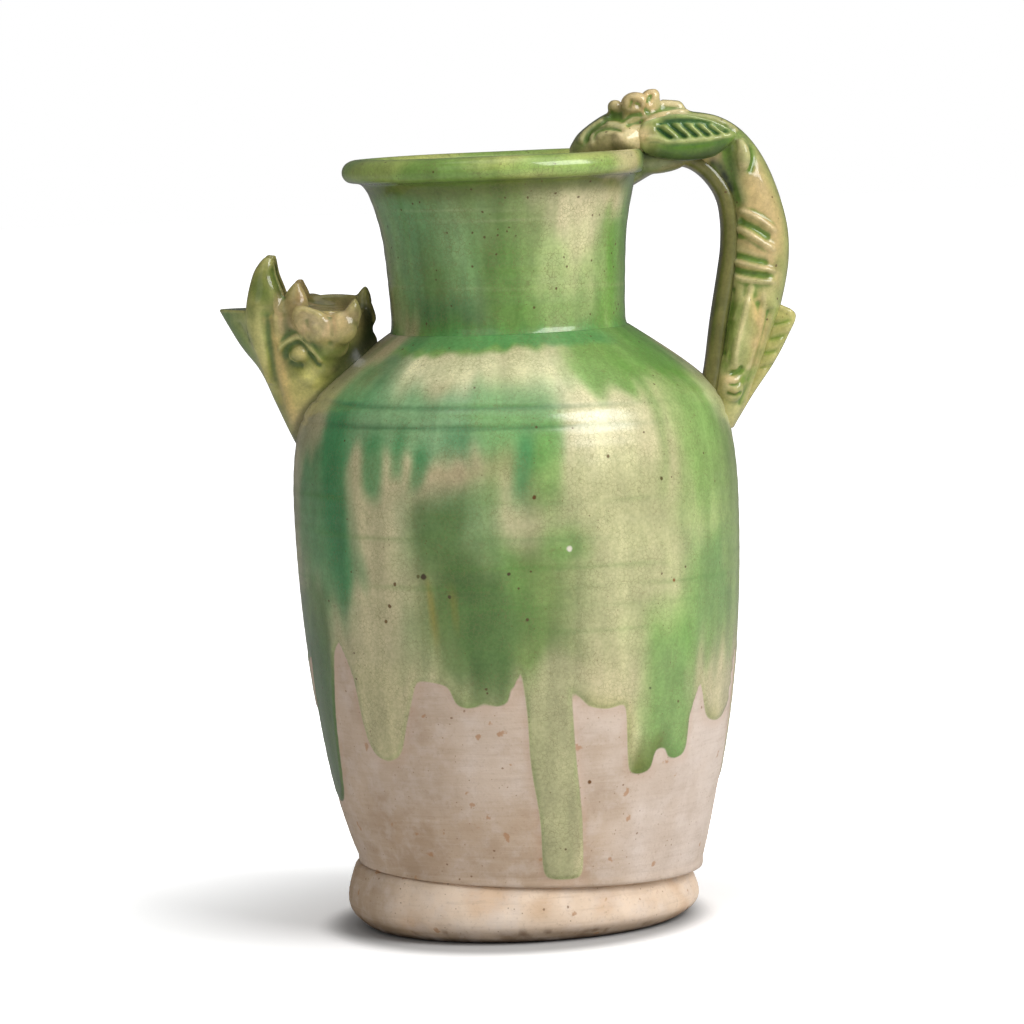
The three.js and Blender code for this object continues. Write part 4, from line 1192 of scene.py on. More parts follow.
trial = melted("trial", [pellet(HANDLE_SIDE, 0, 0, 0, (5, 5, 5))], 0.5)
print("a pellet 10 mm wide melts into", len(trial.vertices), "points")
bpy.data.meshes.remove(trial)

# %% [markdown]
# ## Slip, strokes and touches
#
# Joints are filled with slip, so points that lie in a crease move out to the smoothed surface.
# Sculpting by hand would give the lines of the tool more freedom, but a script can draw them as
# strokes: a height or depth, a width and a path. The same kind of path lays touches of colour. The
# skin then measures its own hollows, where the glaze gathers, and its heights, where it runs thin.

# %% The skin
VIVID = 1.06


def beside(spots, path, width):
    """How strongly a stroke acts on side-view points: exp(-(distance / width)^2) from a smooth path.
    A narrow stroke runs out over its last 2 mm, as the mark of a tool does."""
    path = through(path, 4 * len(path))
    start, step = path[:-1], np.diff(path, axis=0)
    low, high = path.min(axis=0) - 9, path.max(axis=0) + 9
    near = np.flatnonzero(((spots > low) & (spots < high)).all(axis=1))
    gap = spots[near, None] - start
    share = np.clip((gap * step).sum(-1) / np.maximum((step * step).sum(-1), 1e-9), 0, 1)
    gap = gap - share[..., None] * step
    distance = np.sqrt((gap * gap).sum(-1))
    closest = distance.argmin(axis=1)
    lengths = np.sqrt((step * step).sum(-1))
    passed = (np.cumsum(lengths) - lengths)[closest] + (share * lengths)[np.arange(len(near)), closest]
    cover = np.zeros(len(spots))
    cover[near] = hump(distance.min(axis=1), 0, width[near] if np.ndim(width) else width)
    if np.min(width) < 1.7 and lengths.sum() > 5:
        cover[near] *= soft(np.minimum(passed, lengths.sum() - passed), -0.6, 1.8)
    return cover


class Skin:
    """The points of a melted mesh while it is smoothed, drawn into and painted."""

    def __init__(self, mesh, side, rounds, slip=0):
        self.mesh = mesh
        self.side = side
        self.points = rows_of(mesh.vertices, "co") / MM
        self.edges = rows_of(mesh.edges, "vertices", int, 2)
        self.points = self.calmed(rounds, 0.53)
        for _ in range(slip):
            self.write()
            self.points = self.points + self.normals * np.maximum(self.sunk(8), 0)[:, None]
        self.update()

    def calmed(self, rounds, push=0.0):
        """Each point goes half way to the mean of its neighbours, and then back by a push, so that
        the bumps go but the size stays."""
        count = len(self.points)
        here, there = np.concatenate([self.edges, self.edges[:, ::-1]]).T
        degree = np.bincount(here, minlength=count)[:, None]
        points = self.points
        for share in [0.5, -push] * rounds:
            total = [np.bincount(here, points[there, k], count) for k in range(3)]
            points = points + share * (np.stack(total, axis=1) / degree - points)
        return points

    def write(self):
        """Writes the points back and reads the normals."""
        self.mesh.vertices.foreach_set("co", (self.points * MM).astype(np.float32).ravel())
        self.mesh.update()
        self.normals = rows_of(self.mesh.vertex_normals, "vector")

    def sunk(self, rounds):
        """How far the smoothed surface lies above each point. Slip and glaze fill a crease by this."""
        return ((self.calmed(rounds) - self.points) * self.normals).sum(axis=1)

    def update(self):
        """Measures the hollows, within 24 rounds of smoothing, and the places in the side view."""
        self.write()
        self.hollow = self.sunk(24)
        self.view = np.stack([self.side * self.points[:, 0] - SHOULDER_RADIUS,
                              self.points[:, 2] - SHOULDER_HEIGHT], axis=1)

    def draw(self, strokes):
        """Raises or presses the skin along strokes: height in mm, width in mm, and side-view points."""
        turned = soft(np.abs(self.normals[:, 1]), 0.1, 0.5)
        for height, width, path in strokes:
            lift = height * beside(self.view, path, width) * turned
            self.points = self.points + self.normals * lift[:, None]
        self.points = self.calmed(2, 0.5)
        self.update()

    def painted(self, base, touches, hollow_tone, high_tone):
        """The coat: a base, touches of colour along side-view paths, more glaze in the hollows and
        a thin pale coat on the heights."""
        coat = plain(base, len(self.points))
        drift = np.clip(1 + 0.25 * ripple(91, *(self.points.T / 6)), 0.5, 2)
        for shown, width, strength, path in touches:
            coat = paint(coat, beside(self.view, path, width / drift), shown, strength)
        drifting = ripple(92, *(self.points.T / 5)) + 0.7 * ripple(93, *(self.points.T / 2))
        coat = paint(coat, soft(drifting, 0.1, 1.8), hollow_tone, 0.42)
        coat = paint(coat, soft(-self.hollow, 0.03, 0.22), high_tone, 0.42)
        coat = paint(coat, soft(self.hollow, 0.01, 0.20), hollow_tone, 0.9)
        grey = coat.mean(axis=1, keepdims=True)
        fine = 1 + 0.07 * ripple(94, *(self.points.T / 1.1))
        return np.clip(grey + VIVID * (coat - grey), 0.005, 1) * fine[:, None]

    def finish(self, coat, material, replaced):
        """Stores the coat, glazed all over, and adds the piece."""
        set_number(self.mesh, "glaze_depth", np.full(len(self.points), GLAZED))
        set_colour(self.mesh, "coat", coat)
        add_piece(self.mesh, material, replaced)


one_stroke = beside(np.array([[0.0, 1.0]]), [(-9, 0), (9, 0)], 2.0)
print("half its width aside, a stroke has", one_stroke.round(2), "of its height")

# %% [markdown]
# ## The spout dragon
#
# The spout is a dragon's head with upturned jaws. Its throat is open all the way through the
# shoulder, so the channel is cut out of the melted skin, which is then melted once more to thin its
# rims. Horns, teeth, ear flanges and the comb stand on it, and its eye is a pellet under a brow. The
# glaze is olive, tan where it drained off the ridges. Painted shade makes it nearly black round the
# comb and darker on the back of the horns, under the flanges and where the head meets the shoulder.

# %% The spout dragon
SPOUT_HALF = 15.5
SPOUT_FORM = [
    (-36.6, 14, -3.6, -20, 0.76), (-27.5, 20, 2.9, -7.8, 0.8), (-25, 24.5, 8.3, 4.6, 0.84),
    (-23.8, 28.5, 12.9, 15.4, 0.9), (-23.2, 31.5, 19.3, 24.5, 0.97), (-22.6, 34.5, 25.9, 36.6, 1.0),
]
CHANNEL_FORM = [
    (-26.2, 0.6, -17, -8.6, 0.42), (-14.2, 12.6, -5, 3.4, 0.42), (-9.6, 23, 4.9, 14.5, 0.48),
    (-18.6, 28, 13.4, 26, 0.66), (-20.2, 35.5, 22.0, 36.5, 0.83), (-20.2, 44, 23.4, 45, 0.86),
]
HORN = [
    (8.2, 12, 10.4, 11.4, 0.1, 0.5), (7.0, 20, 12.6, 19, 0.62, 0.8), (5.2, 28, 15.8, 28, 0.9, 0.92),
    (2.8, 35.5, 16.3, 35.5, 1.1, 0.97), (3.6, 41, 15.4, 41.5, 1.0), (5.6, 47, 13.4, 48, 0.8),
    (6.2, 50.5, 11.4, 51.3, 0.6), (6.6, 53, 9.4, 53.4, 0.28),
]
TOOTH = [
    (-5.4, 32, 4.4, 32, 1.0), (-4.6, 37, 3.8, 37.5, 1.0), (-3.8, 40.5, 3.0, 41, 0.85),
    (-2.6, 43.2, 1.4, 43.2, 0.6), (-1.9, 44.8, 0.0, 44.7, 0.3),
]
FLANGE = [
    (0.6, 31, 1.6, 34, 0.24), (-1.2, 28.4, 0.2, 36.6, 0.65), (-4.4, 26, -2.6, 37.2, 0.82),
    (-8.4, 24.4, -8.5, 35.2, 0.94), (-12, 24, -12.4, 33.2, 1.0), (-15.4, 24.6, -16, 35.2, 0.94),
    (-18.4, 26.4, -19.6, 38.8, 0.71), (-20.4, 29.5, -21.2, 36.8, 0.41), (-21, 31.6, -21.8, 33.8, 0.18),
]
FAR_RIM = [
    (0, 29, 0, 37.6, 0.8), (-5, 29, -5, 39.0, 1.0), (-11, 29, -11, 39.4, 1.0), (-17, 29, -17, 39.0, 1.0),
    (-21, 30, -21, 38.4, 0.8),
]
COMB = [
    (-20.5, 20.5, -25.9, 20.6, 0.62), (-20, 24.8, -26, 24.6, 0.92), (-20, 28, -24.7, 28, 0.85),
    (-20, 31.5, -26, 31.3, 1.0), (-19.8, 35.4, -25.2, 35.2, 0.92), (-20.4, 38.8, -23.9, 38.8, 0.62),
    (-21.8, 41.4, -23.2, 41.6, 0.3),
]

# Strokes give a height, a width and a path, and touches a tone, a width, a strength and a path.
SPOUT_STROKES = [
    (0.5, 2.6, [(12.5, 38), (12.2, 30), (11.4, 22), (10.2, 15), (8.4, 8)]),
    (-0.7, 2.2, [(9.2, 34), (9.0, 26), (8.2, 16), (6.4, 8)]),
    (0.9, 2.0, [(6.6, 33), (6.4, 26), (5.8, 18), (4.2, 9), (2, 0)]),
    (-0.6, 2.6, [(5.6, 48), (4.4, 42), (3.8, 35), (2.4, 29.5)]),
    (-0.6, 2.0, [(3.6, 21), (2.2, 24.4), (-1, 26), (-4.2, 24), (-5.6, 20.6)]),
    (-0.8, 1.5, [(2.8, 20), (0.6, 17.8), (-2.6, 17.6)]),
    (1.2, 1.0, [(6.2, 22.9), (3.5, 25.2), (0.6, 26.8), (-1.6, 26.6), (-3.8, 24.4), (-6, 21.2), (-8, 18)]),
    (-0.6, 0.9, [(-3.8, 22.4), (-5.8, 19.6), (-8, 16.6)]),
    (0.8, 1.1, [(0.4, 35.2), (-2.5, 36.2), (-6, 35), (-9.5, 33.6)]),
    (-0.5, 1.8, [(-11.6, 33), (-11.8, 29), (-11.2, 25)]),
    (-0.4, 1.4, [(-3.4, 34), (-4.4, 30), (-6.8, 27)]),
    (-0.5, 1.2, [(20, 33), (15, 25)]),
]
SPOUT_TOUCHES = [
    ((104, 132, 74), 7, 0.9, [(22, 35), (17, 27), (12, 15)]),
    ((206, 198, 134), 3.4, 0.88, [(12.9, 38), (12.6, 32), (11.4, 24), (9.4, 12)]),
    ((178, 176, 108), 1.3, 0.6, [(13.4, 40), (13.4, 30), (11.4, 20), (9, 11)]),
    ((104, 116, 50), 5, 0.8, [(8, 53), (9.6, 47), (10.4, 42)]),
    ((108, 128, 56), 1.5, 0.8, [(9.6, 37), (9.3, 26), (8.4, 16), (6.6, 9)]),
    ((218, 188, 126), 2.3, 0.9, [(6.8, 35), (6.4, 26), (5.8, 18), (4, 8), (1.6, -2)]),
    # Painted shade on the back of the horn.
    ((56, 68, 32), 2.6, 0.9, [(5.4, 49), (3.8, 43), (3.2, 36), (2.0, 30)]),
    ((80, 102, 48), 4.0, 0.85, [(2.4, 23), (-1, 26), (-5.5, 22)]),
    ((200, 188, 118), 4, 0.8, [(-0.5, 9), (-2.5, 2), (-4, -5)]),
    ((222, 214, 134), 3.6, 0.9, [(-4.8, 14.6), (-3, 13.4)]),
    ((218, 188, 142), 6.6, 0.94, [(-2, 33), (-9, 31), (-17, 33)]),
    ((222, 192, 160), 2.8, 0.75, [(-5, 34), (-8, 30)]),
    # The green of the glaze, and painted shade under the flange.
    ((116, 128, 62), 2.2, 0.8, [(-4, 24.5), (-9, 21), (-14, 20.4), (-18, 24)]),
    ((176, 140, 104), 3.4, 0.92, [(-1.2, 45), (-1.0, 38)]),
    ((214, 194, 130), 2.6, 0.95, [(-1.2, 21.8), (-1.0, 21.6)]),
    ((190, 190, 130), 0.8, 0.8, [(6.2, 22.9), (3.5, 25.2), (0.6, 26.8), (-1.6, 26.6), (-6, 21.2)]),
    ((222, 200, 146), 4.2, 0.85, [(0.5, -1), (-2, -11)]),
    # Painted shadow, nearly black, on the comb, on the wall behind the flanges and below them.
    ((48, 56, 32), 4, 0.85, [(-13, 16), (-19, 21)]),
    ((30, 38, 22), 4.6, 0.95, [(-22, 19), (-24, 28), (-24, 36)]),
    ((112, 122, 60), 2.6, 0.85, [(-22.6, 41.5), (-22.2, 39)]),
]


def make_spout(material):
    """The head with its throat cut through, and horns, teeth, flanges, eyes, brows and comb on it."""
    head = loft(SPOUT_SIDE, SPOUT_HALF, SPOUT_FORM, square=0.95, beak=0.6)
    channel = loft(SPOUT_SIDE, SPOUT_HALF, CHANNEL_FORM, square=0.95, beak=0.5)
    socket = width_at(head, -1.1, 21.6)
    trims = [loft(SPOUT_SIDE, 2.6, COMB), loft(SPOUT_SIDE, 2.2, FAR_RIM, middle=14.4, square=0.8)]
    for across, raised in ((-1, 0.0), (1, 2.6)):
        flange = [(a - raised, b + raised, c - raised, d + raised, share) for a, b, c, d, share in FLANGE]
        trims += [
            loft(SPOUT_SIDE, 3.8, HORN, middle=11.5 * across),
            loft(SPOUT_SIDE, 2.6, TOOTH, middle=13.3 * across),
            loft(SPOUT_SIDE, 3.4, flange, middle=16.6 * across, square=0.9),
            pellet(SPOUT_SIDE, -1.1, 21.6, across * (socket + 0.4), (4.2, 3.0, 3.6)),
            pellet(SPOUT_SIDE, -4.6, 14.0, across * (socket - 2.7), (5.4, 3.6, 4.8)),
            pellet(SPOUT_SIDE, -7.0 - raised, 29.0 + raised, across * 17.6, (5.0, 2.6, 4.4)),
            pellet(SPOUT_SIDE, -15.0 - raised, 29.6 + raised, across * 17.6, (5.2, 3.0, 5.4)),
            pellet(SPOUT_SIDE, -9.5, 24, across * 13.4, (7.6, 4.4, 6)),
            pellet(SPOUT_SIDE, -7.5, 18.5, across * 12.2, (6.4, 3.6, 6.4)),
        ]
    mesh = melted("spout_dragon", [head], 0.42, [channel, body_core()], trims)
    skin = Skin(mesh, SPOUT_SIDE, 12, 22)
    skin.draw(SPOUT_STROKES)
    coat = skin.painted((146, 148, 80), SPOUT_TOUCHES, (86, 108, 54), (204, 190, 130))
    # Painted shade, with pooled glaze, darkens the head where it meets the shoulder.
    reach = np.interp(skin.points[:, 2], body_wall[:, 1], body_wall[:, 0])
    out_of_wall = np.hypot(skin.points[:, 0], skin.points[:, 1]) - reach
    coat = paint(coat, 1 - soft(out_of_wall, 0.4, 3.2), (64, 72, 38), 0.7)
    nodes = both_hands(["spout_flange", "spout_tooth", "spout_eye", "spout_brow", "spout_tusk"])
    skin.finish(coat, material, ["spout_head", "spout_comb", *nodes])


make_spout(beast_fired)

# %% [markdown]
# ## The strap
#
# The strap is the real handle: a flat bar of clay, pulled by wet hands, which springs from under the
# lip and drops to the shoulder. The dragon was only laid on it, and a deep seam is left between
# them, with a few dark pits that the slip never filled.

# %% The strap
STRAP_PATH = [(-28.6, 70.5), (-24.6, 72.8), (-18.5, 75.9), (-12.1, 77.7), (-5.4, 74.3), (-0.1, 67),
              (1.3, 59.1), (1.1, 50.5), (-0.1, 42.9), (-3.3, 26.3), (-5.7, 11.5), (-8.6, -2)]
STRAP_THICKNESS = 6.4
SEAM_PITS = [
    ((34, 42, 22), 1.4, 0.95, [(-0.6, 78.0), (1.2, 76.4)]),
    ((34, 42, 22), 1.3, 0.95, [(2.8, 74.2), (3.6, 72.8)]),
    ((34, 42, 22), 1.2, 0.95, [(4.6, 70.8), (5.2, 69.0)]),
]


def make_strap(material):
    """The bar, and a web of slip on each side where it meets the rim."""
    path = through(STRAP_PATH, 40)
    outer = moved_in(path, STRAP_THICKNESS)
    stations = [(*a, *b, 1.0) for a, b in zip(path, outer)]
    forms = [loft(HANDLE_SIDE, 9.0, stations, square=0.72, steps=150)]
    forms += [pellet(HANDLE_SIDE, -20.5, 79.6, 7.4 * hand, (12, 4.6, 4.4)) for hand in (-1, 1)]
    skin = Skin(melted("strap_glazed", forms, 0.5, [body_core()]), HANDLE_SIDE, 6, 18)
    touches = [((132, 142, 102), 8, 0.9, STRAP_PATH[:3]),
               # Painted shade on the web, under the ear fin and the lip.
               ((84, 100, 62), 2.4, 0.7, [(-25, 82), (-18, 82.4)]),
               ((52, 76, 44), 1.8, 0.9, [(-25, 81.6), (-21.6, 81.2)]),
               ((140, 122, 80), 0.9, 0.5, STRAP_PATH),
               # Painted shade along the edge that runs under the beast.
               ((60, 76, 34), 2.4, 0.75, outer[11:].tolist()), *SEAM_PITS]
    # The dark olive of the strap is partly painted shade, for the side it turns from the light.
    coat = skin.painted((116, 110, 58), touches, (50, 66, 26), (120, 116, 76))
    skin.finish(coat, material, ["handle_strap"])


make_strap(beast_fired)

# %% [markdown]
# ## The handle dragon
#
# The beast bites the rim and arches over the hand. Its muzzle has folds drawn round the jaws, its
# eyes, nostrils and ear stubs are pellets, a squared crest stands behind them, and its legs and ribs
# are pressed along its flanks. The heights are tan, where the glaze ran thin, and green lies in
# every hollow: that is why the skin measures its own hollows before it is painted.

# %% The handle dragon
BEAST_FORM = [
    (-15.3, 80, -15.3, 95, 1.0), (-12, 80, -8.8, 95.3, 1.0), (-5.4, 76.8, 2.4, 93, 1.0),
    (-0.6, 71.6, 11.1, 86.7, 0.98), (2.4, 65, 18, 75.6, 1.0), (3.2, 56, 23, 59.4, 1.0),
    (3, 44, 23.6, 46, 1.0), (1, 33, 20.8, 32, 0.96), (-1.8, 20, 16.9, 21, 0.96), (-3.8, 8, 11.9, 8, 0.94),
    (-5.2, 0, 8.4, -0.6, 0.82), (-5, -9, 3.2, -9.8, 0.5),
]
HEAD_FORM = [
    (-47.4, 82.5, -47, 85.2, 0.3), (-45, 79.5, -44, 89.4, 0.6), (-39.6, 78.8, -38.3, 93.6, 0.8),
    (-33.6, 78.8, -33.1, 96, 0.92), (-26.6, 79.6, -26.1, 96.8, 1.0), (-19.6, 80.4, -19.6, 95.8, 1.0),
    (-15.6, 81.2, -15.6, 95.2, 0.9),
]
EAR_STUB = [
    (-23.4, 93.6, -17.4, 93, 0.93), (-23.8, 98.6, -17.2, 98.2, 1.0), (-22.4, 101.6, -17, 101.4, 0.8),
    (-20.8, 102.8, -18.2, 103, 0.4),
]
CREST = [
    (-16.6, 93.6, -16.6, 99.4, 1.0), (-13.4, 93.6, -13.4, 99.1, 1.0), (-10.4, 93.4, -10.2, 98.5, 0.96),
    (-8.8, 93.6, -8.6, 96.4, 0.77),
]
FORELEG = [
    (7.2, 85, 8.8, 85.4, 0.38), (6.2, 80.6, 11.4, 82, 1.0), (6.6, 76.8, 11.2, 77.6, 0.96),
    (7.6, 73.6, 9.4, 73.8, 0.4),
]
HIND_LEG = [
    (6.3, 36.2, 11.6, 34.8, 0.35), (4.8, 31, 12.9, 30.6, 0.85), (2.2, 24, 11.9, 23, 1.0),
    (0.6, 16, 9.4, 16, 0.94), (0.8, 9.8, 7, 9.2, 0.59),
]
BEAST_STROKES = [
    (1.0, 1.1, [(-44, 86), (-41.5, 90), (-37.8, 92.8), (-35.5, 94.2)]),
    (-1.0, 0.9, [(-42.6, 86), (-40.3, 89.6), (-37, 92), (-34.6, 93.4)]),
    (0.6, 0.9, [(-41, 87), (-39.1, 90), (-36.2, 91.8), (-33, 92.6)]),
    (-1.5, 1.4, [(-34.8, 95), (-33.4, 95), (-31, 94.6)]),
    (-0.6, 0.8, [(-38.9, 86), (-38.4, 89.4), (-35, 90.6), (-31, 89.8), (-29.3, 88.4)]),
    (0.7, 2.4, [(-36.5, 86.6), (-32, 86.6), (-30, 86.2)]),
    (0.6, 1.0, [(-41, 84.4), (-37.6, 88.2), (-33, 89.2), (-29.6, 88)]),
    (1.2, 2.4, [(-28.8, 87.0), (-28.2, 86.8)]),
    (-1.0, 1.2, [(-29.4, 91.5), (-25.5, 92.6), (-22, 92.6)]),
    (-0.8, 0.9, [(-31, 92.6), (-27, 94.6), (-22, 95)]),
    (-1.3, 1.9, [(-25, 98.6), (-24.2, 98.2)]),
    (-0.6, 0.9, [(-23.2, 96.6), (-22.8, 96.4)]),
    (-0.7, 0.8, [(-27.4, 97.4), (-26.8, 99.6)]),
    (-1.0, 1.0, [(-21.4, 96), (-20.2, 100.6)]),
    (0.9, 1.0, [(-23.5, 91.2), (-18, 94), (-12, 95), (-5, 94.6), (0, 93.2), (5, 90.4), (8.4, 87.4)]),
    (-1.0, 1.0, [(-12, 92.8), (-5, 92.6), (0, 91.4), (5, 89)]),
    (-0.9, 2.2, [(3.2, 82), (3.6, 77), (5.0, 70), (6.4, 62), (6.8, 54)]),
    (0.9, 1.4, [(8.4, 86), (9.9, 82), (10.4, 78.6), (9.2, 75)]),
    (-0.8, 1.2, [(12.4, 84), (12.8, 79), (11.4, 74)]),
    (1.1, 0.9, [(6.6, 62.4), (10.6, 60.9), (14.4, 58.7), (19.4, 54.6)]),
    (-1.0, 1.3, [(6.4, 59.2), (10, 57.4), (13.4, 55.4), (17.4, 52.4)]),
    (1.1, 1.2, [(5.4, 56.6), (9.4, 54.9), (13, 52.6), (18.8, 48.4)]),
    (-0.7, 1.1, [(5, 47.8), (9, 46.8), (13, 45.6), (16.6, 44.8)]),
    (1.1, 0.8, [(4.6, 45.6), (8.6, 44.6), (13, 43.3), (18.6, 41.8)]),
    (-0.8, 1.0, [(4.6, 42.9), (9, 41.7), (13, 40.9), (16.6, 40.6)]),
    (0.9, 0.8, [(4.8, 40.6), (8, 39.5), (12, 38.9), (18.4, 38.3)]),
    (-0.8, 1.2, [(4.6, 38), (3.4, 31), (1.2, 23), (0, 14)]),
    (-0.6, 1.6, [(12.6, 33), (13, 27), (12.2, 20), (10.2, 12), (8, 5)]),
    (0.8, 1.0, [(10.6, 38), (8.6, 31), (6.6, 24), (4.6, 17), (3.6, 11)]),
    (0.5, 1.4, [(14.6, 36), (13.4, 28), (11.4, 19), (8.6, 9)]),
    (-0.6, 1.2, [(3.6, 27), (2.4, 20), (2, 13)]),
    (-1.0, 1.0, [(7, 11.6), (5, 9.4), (1.6, 9)]),
    (-0.8, 0.7, [(0.8, 5.6), (3.4, 5.2), (5.8, 6)]),
    (-0.9, 0.7, [(1.2, 2.4), (3.8, 1.6), (5.6, 2.2)]),
    (-0.9, 1.2, [(16.2, 30), (14.6, 22), (12.4, 14), (9.4, 6), (5, -3)]),
]
BEAST_TOUCHES = [
    ((132, 140, 82), 9, 0.9, [(-46, 84), (-40, 89), (-34, 92), (-27, 93)]),
    ((112, 134, 68), 2.6, 0.8, [(-45, 84), (-42, 89), (-37, 93)]),
    ((190, 178, 128), 4, 0.8, [(-38, 85), (-31, 86)]),
    ((176, 178, 128), 1.0, 0.7, [(-40.6, 86), (-37.4, 89.6), (-33, 91), (-29.6, 89.8)]),
    ((76, 100, 44), 1.5, 0.85, [(-42.6, 86), (-40.3, 89.6), (-37, 92), (-33, 94.4)]),
    ((168, 178, 124), 0.9, 0.7, [(-43.8, 86.5), (-41.5, 90), (-37.8, 92.8)]),
    ((232, 210, 164), 4.4, 0.95, [(-30, 87.4), (-26.4, 88.6)]),
    ((204, 172, 124), 5.5, 0.85, [(-25.5, 98.5), (-20, 99.5)]),
    ((212, 198, 152), 3.4, 0.95, [(-16, 98.8), (-10, 98)]),
    ((106, 140, 66), 2.8, 0.88, [(-9, 93), (-4, 94.2), (4, 91.2), (9.6, 86)]),
    ((78, 108, 44), 3.4, 0.92, [(5, 87), (5, 80), (5.6, 73), (7.4, 66)]),
    ((150, 164, 104), 2.4, 0.85, [(8.8, 87), (10.2, 82), (10.2, 77)]),
    ((92, 132, 58), 1.6, 0.8, [(12.6, 85), (12.4, 79), (10.6, 73.6)]),
    ((82, 94, 40), 3.0, 0.9, [(1.4, 77), (4.2, 67), (5.0, 57)]),
    ((96, 108, 50), 2.0, 0.85, [(4.6, 54), (4.6, 44), (2.4, 33), (-0.4, 20), (-2.2, 8)]),
    *SEAM_PITS,
    ((146, 158, 96), 3.0, 0.8, [(11, 87), (18, 76), (23, 60), (23.4, 46), (20.4, 33), (16.6, 21)]),
    ((178, 180, 120), 9, 0.8, [(10, 34), (8, 20), (5, 8), (3, -4)]),
    ((108, 144, 54), 1.4, 0.85, [(6.4, 59), (10.4, 57), (13.4, 55.3), (16.6, 53)]),
    ((108, 144, 54), 1.2, 0.85, [(5, 47.8), (9, 46.7), (13, 45.5), (16, 44.8)]),
    ((116, 144, 60), 1.1, 0.8, [(4.6, 42.8), (9, 41.6), (13, 40.8), (16, 40.5)]),
    ((136, 148, 80), 2.2, 0.85, [(5.6, 33), (4.0, 26), (2.6, 18), (1.8, 10)]),
    ((114, 140, 62), 2.0, 0.75, [(17.4, 31), (14.6, 19), (10.4, 7)]),
    ((202, 198, 142), 1.2, 0.75, [(9.8, 35), (7.8, 29), (6, 22), (4.4, 14)]),
    ((202, 172, 122), 2.6, 0.85, [(12.2, 31), (12.4, 22), (10.6, 13)]),
    ((104, 140, 40), 2.2, 0.8, [(7, 11), (5.6, 4), (4.6, -2)]),
    ((214, 182, 140), 1.6, 0.8, [(1.6, 7), (4, 6.6)]),
    ((150, 120, 50), 1.2, 0.7, [(2.6, 3), (4, 2.6)]),
    ((104, 92, 48), 2.2, 0.8, [(-25, 98.6), (-24, 98)]),
    ((122, 118, 60), 1.6, 0.6, [(-27.6, 96.6), (-26.8, 99.4)]),
    ((70, 84, 42), 1.4, 0.85, [(-34.6, 95), (-32, 94.4)]),
    ((210, 194, 150), 2.6, 0.9, [(-16, 96.2), (-10, 95.8)]),
]


def make_beast(material):
    """The body, head and crest, with their pellets, stubs and legs, as one tooled skin."""
    body = loft(HANDLE_SIDE, 10.6, BEAST_FORM, square=0.85, steps=150)
    forms = [body, loft(HANDLE_SIDE, 12.6, HEAD_FORM, square=0.85),
             loft(HANDLE_SIDE, 5.2, CREST, square=0.5)]
    for hand in (-1, 1):
        forms += [
            pellet(HANDLE_SIDE, -24.9, 98, 7.8 * hand, (4.8, 3.6, 4.2)),
            pellet(HANDLE_SIDE, -31.6, 97.4, 4.5 * hand, (2.5, 2.3, 2.5)),
            pellet(HANDLE_SIDE, 3, 4.2, 7.8 * hand, (4.2, 4.0, 5.2)),
            pellet(HANDLE_SIDE, -28, 86.8, 11.5 * hand, (5.0, 2.2, 4.2)),
            loft(HANDLE_SIDE, 3.0, EAR_STUB, middle=5.0 * hand),
            loft(HANDLE_SIDE, 2.8, FORELEG, middle=9.2 * hand),
            loft(HANDLE_SIDE, 3.6, HIND_LEG, middle=8.4 * hand),
        ]
    skin = Skin(melted("handle_dragon", forms, 0.46, [body_core()]), HANDLE_SIDE, 10, 8)
    skin.draw(BEAST_STROKES)
    coat = skin.painted((192, 168, 122), BEAST_TOUCHES, (96, 124, 50), (212, 194, 150))
    ribs = [f"flank_rib_{number}" for number in (1, 2, 3, 4)]
    limbs = ["dragon_eye", "dragon_nostril", "ear_stub", "foreleg", "hind_leg", "claw", *ribs]
    nodes = ["dragon_body", "dragon_head", "dragon_crest", *both_hands(limbs)]
    skin.finish(coat, material, nodes)


make_beast(beast_fired)

# %% [markdown]
# ## Ear fins and tail fin
#
# Each ear is a long leaf of clay laid against the neck of the beast. A rim and a midrib stand out,
# and six slanting cuts between them leave ribs, deep enough for the green to turn dark. The tail fin
# is the same idea at the foot of the handle: a thin fin with a few lines across.

# %% The fins
EAR_FIN = [
    (-28.6, 85.4, -29.6, 87.2, 0.1, 0.93), (-25.4, 84.8, -27.2, 88.4, 0.38, 0.98),
    (-21.5, 81.6, -22.8, 91.8, 0.78), (-14, 79.6, -14, 94, 1.0),
    (-7, 79.2, -7, 93.6, 1.0), (0, 80.3, 0, 91.8, 0.84), (4.8, 83.8, 4.4, 89.4, 0.51),
    (7.6, 86.8, 7.3, 87.4, 0.16),
]
TAIL_FIN = [
    (17.4, 29.4, 20.4, 30.4, 0.43), (16.2, 26, 25.2, 26.9, 0.74), (14.4, 20, 22.4, 20, 0.91),
    (11, 11, 17.2, 11, 1.0), (6, 1, 10, 1, 1.0), (1, -9, 3.2, -9.6, 0.57),
]
NOTCHES = [
    [(-19.2, 90.8), (-13.6, 86.3)], [(-15.3, 92), (-8.9, 86.4)], [(-11.1, 92), (-5.3, 86.6)],
    [(-6.9, 91.6), (-1.4, 86.6)], [(-3.2, 91.3), (1.9, 86.9)], [(0.9, 90.6), (5, 87.5)],
]
FIN_RIBS = [
    [(-16.4, 91), (-11.8, 86.6)], [(-12.4, 91.6), (-7.8, 87)], [(-8.2, 91.4), (-4, 87)],
    [(-4.3, 91), (-0.4, 87.2)], [(-0.6, 90.6), (3, 87.6)],
]
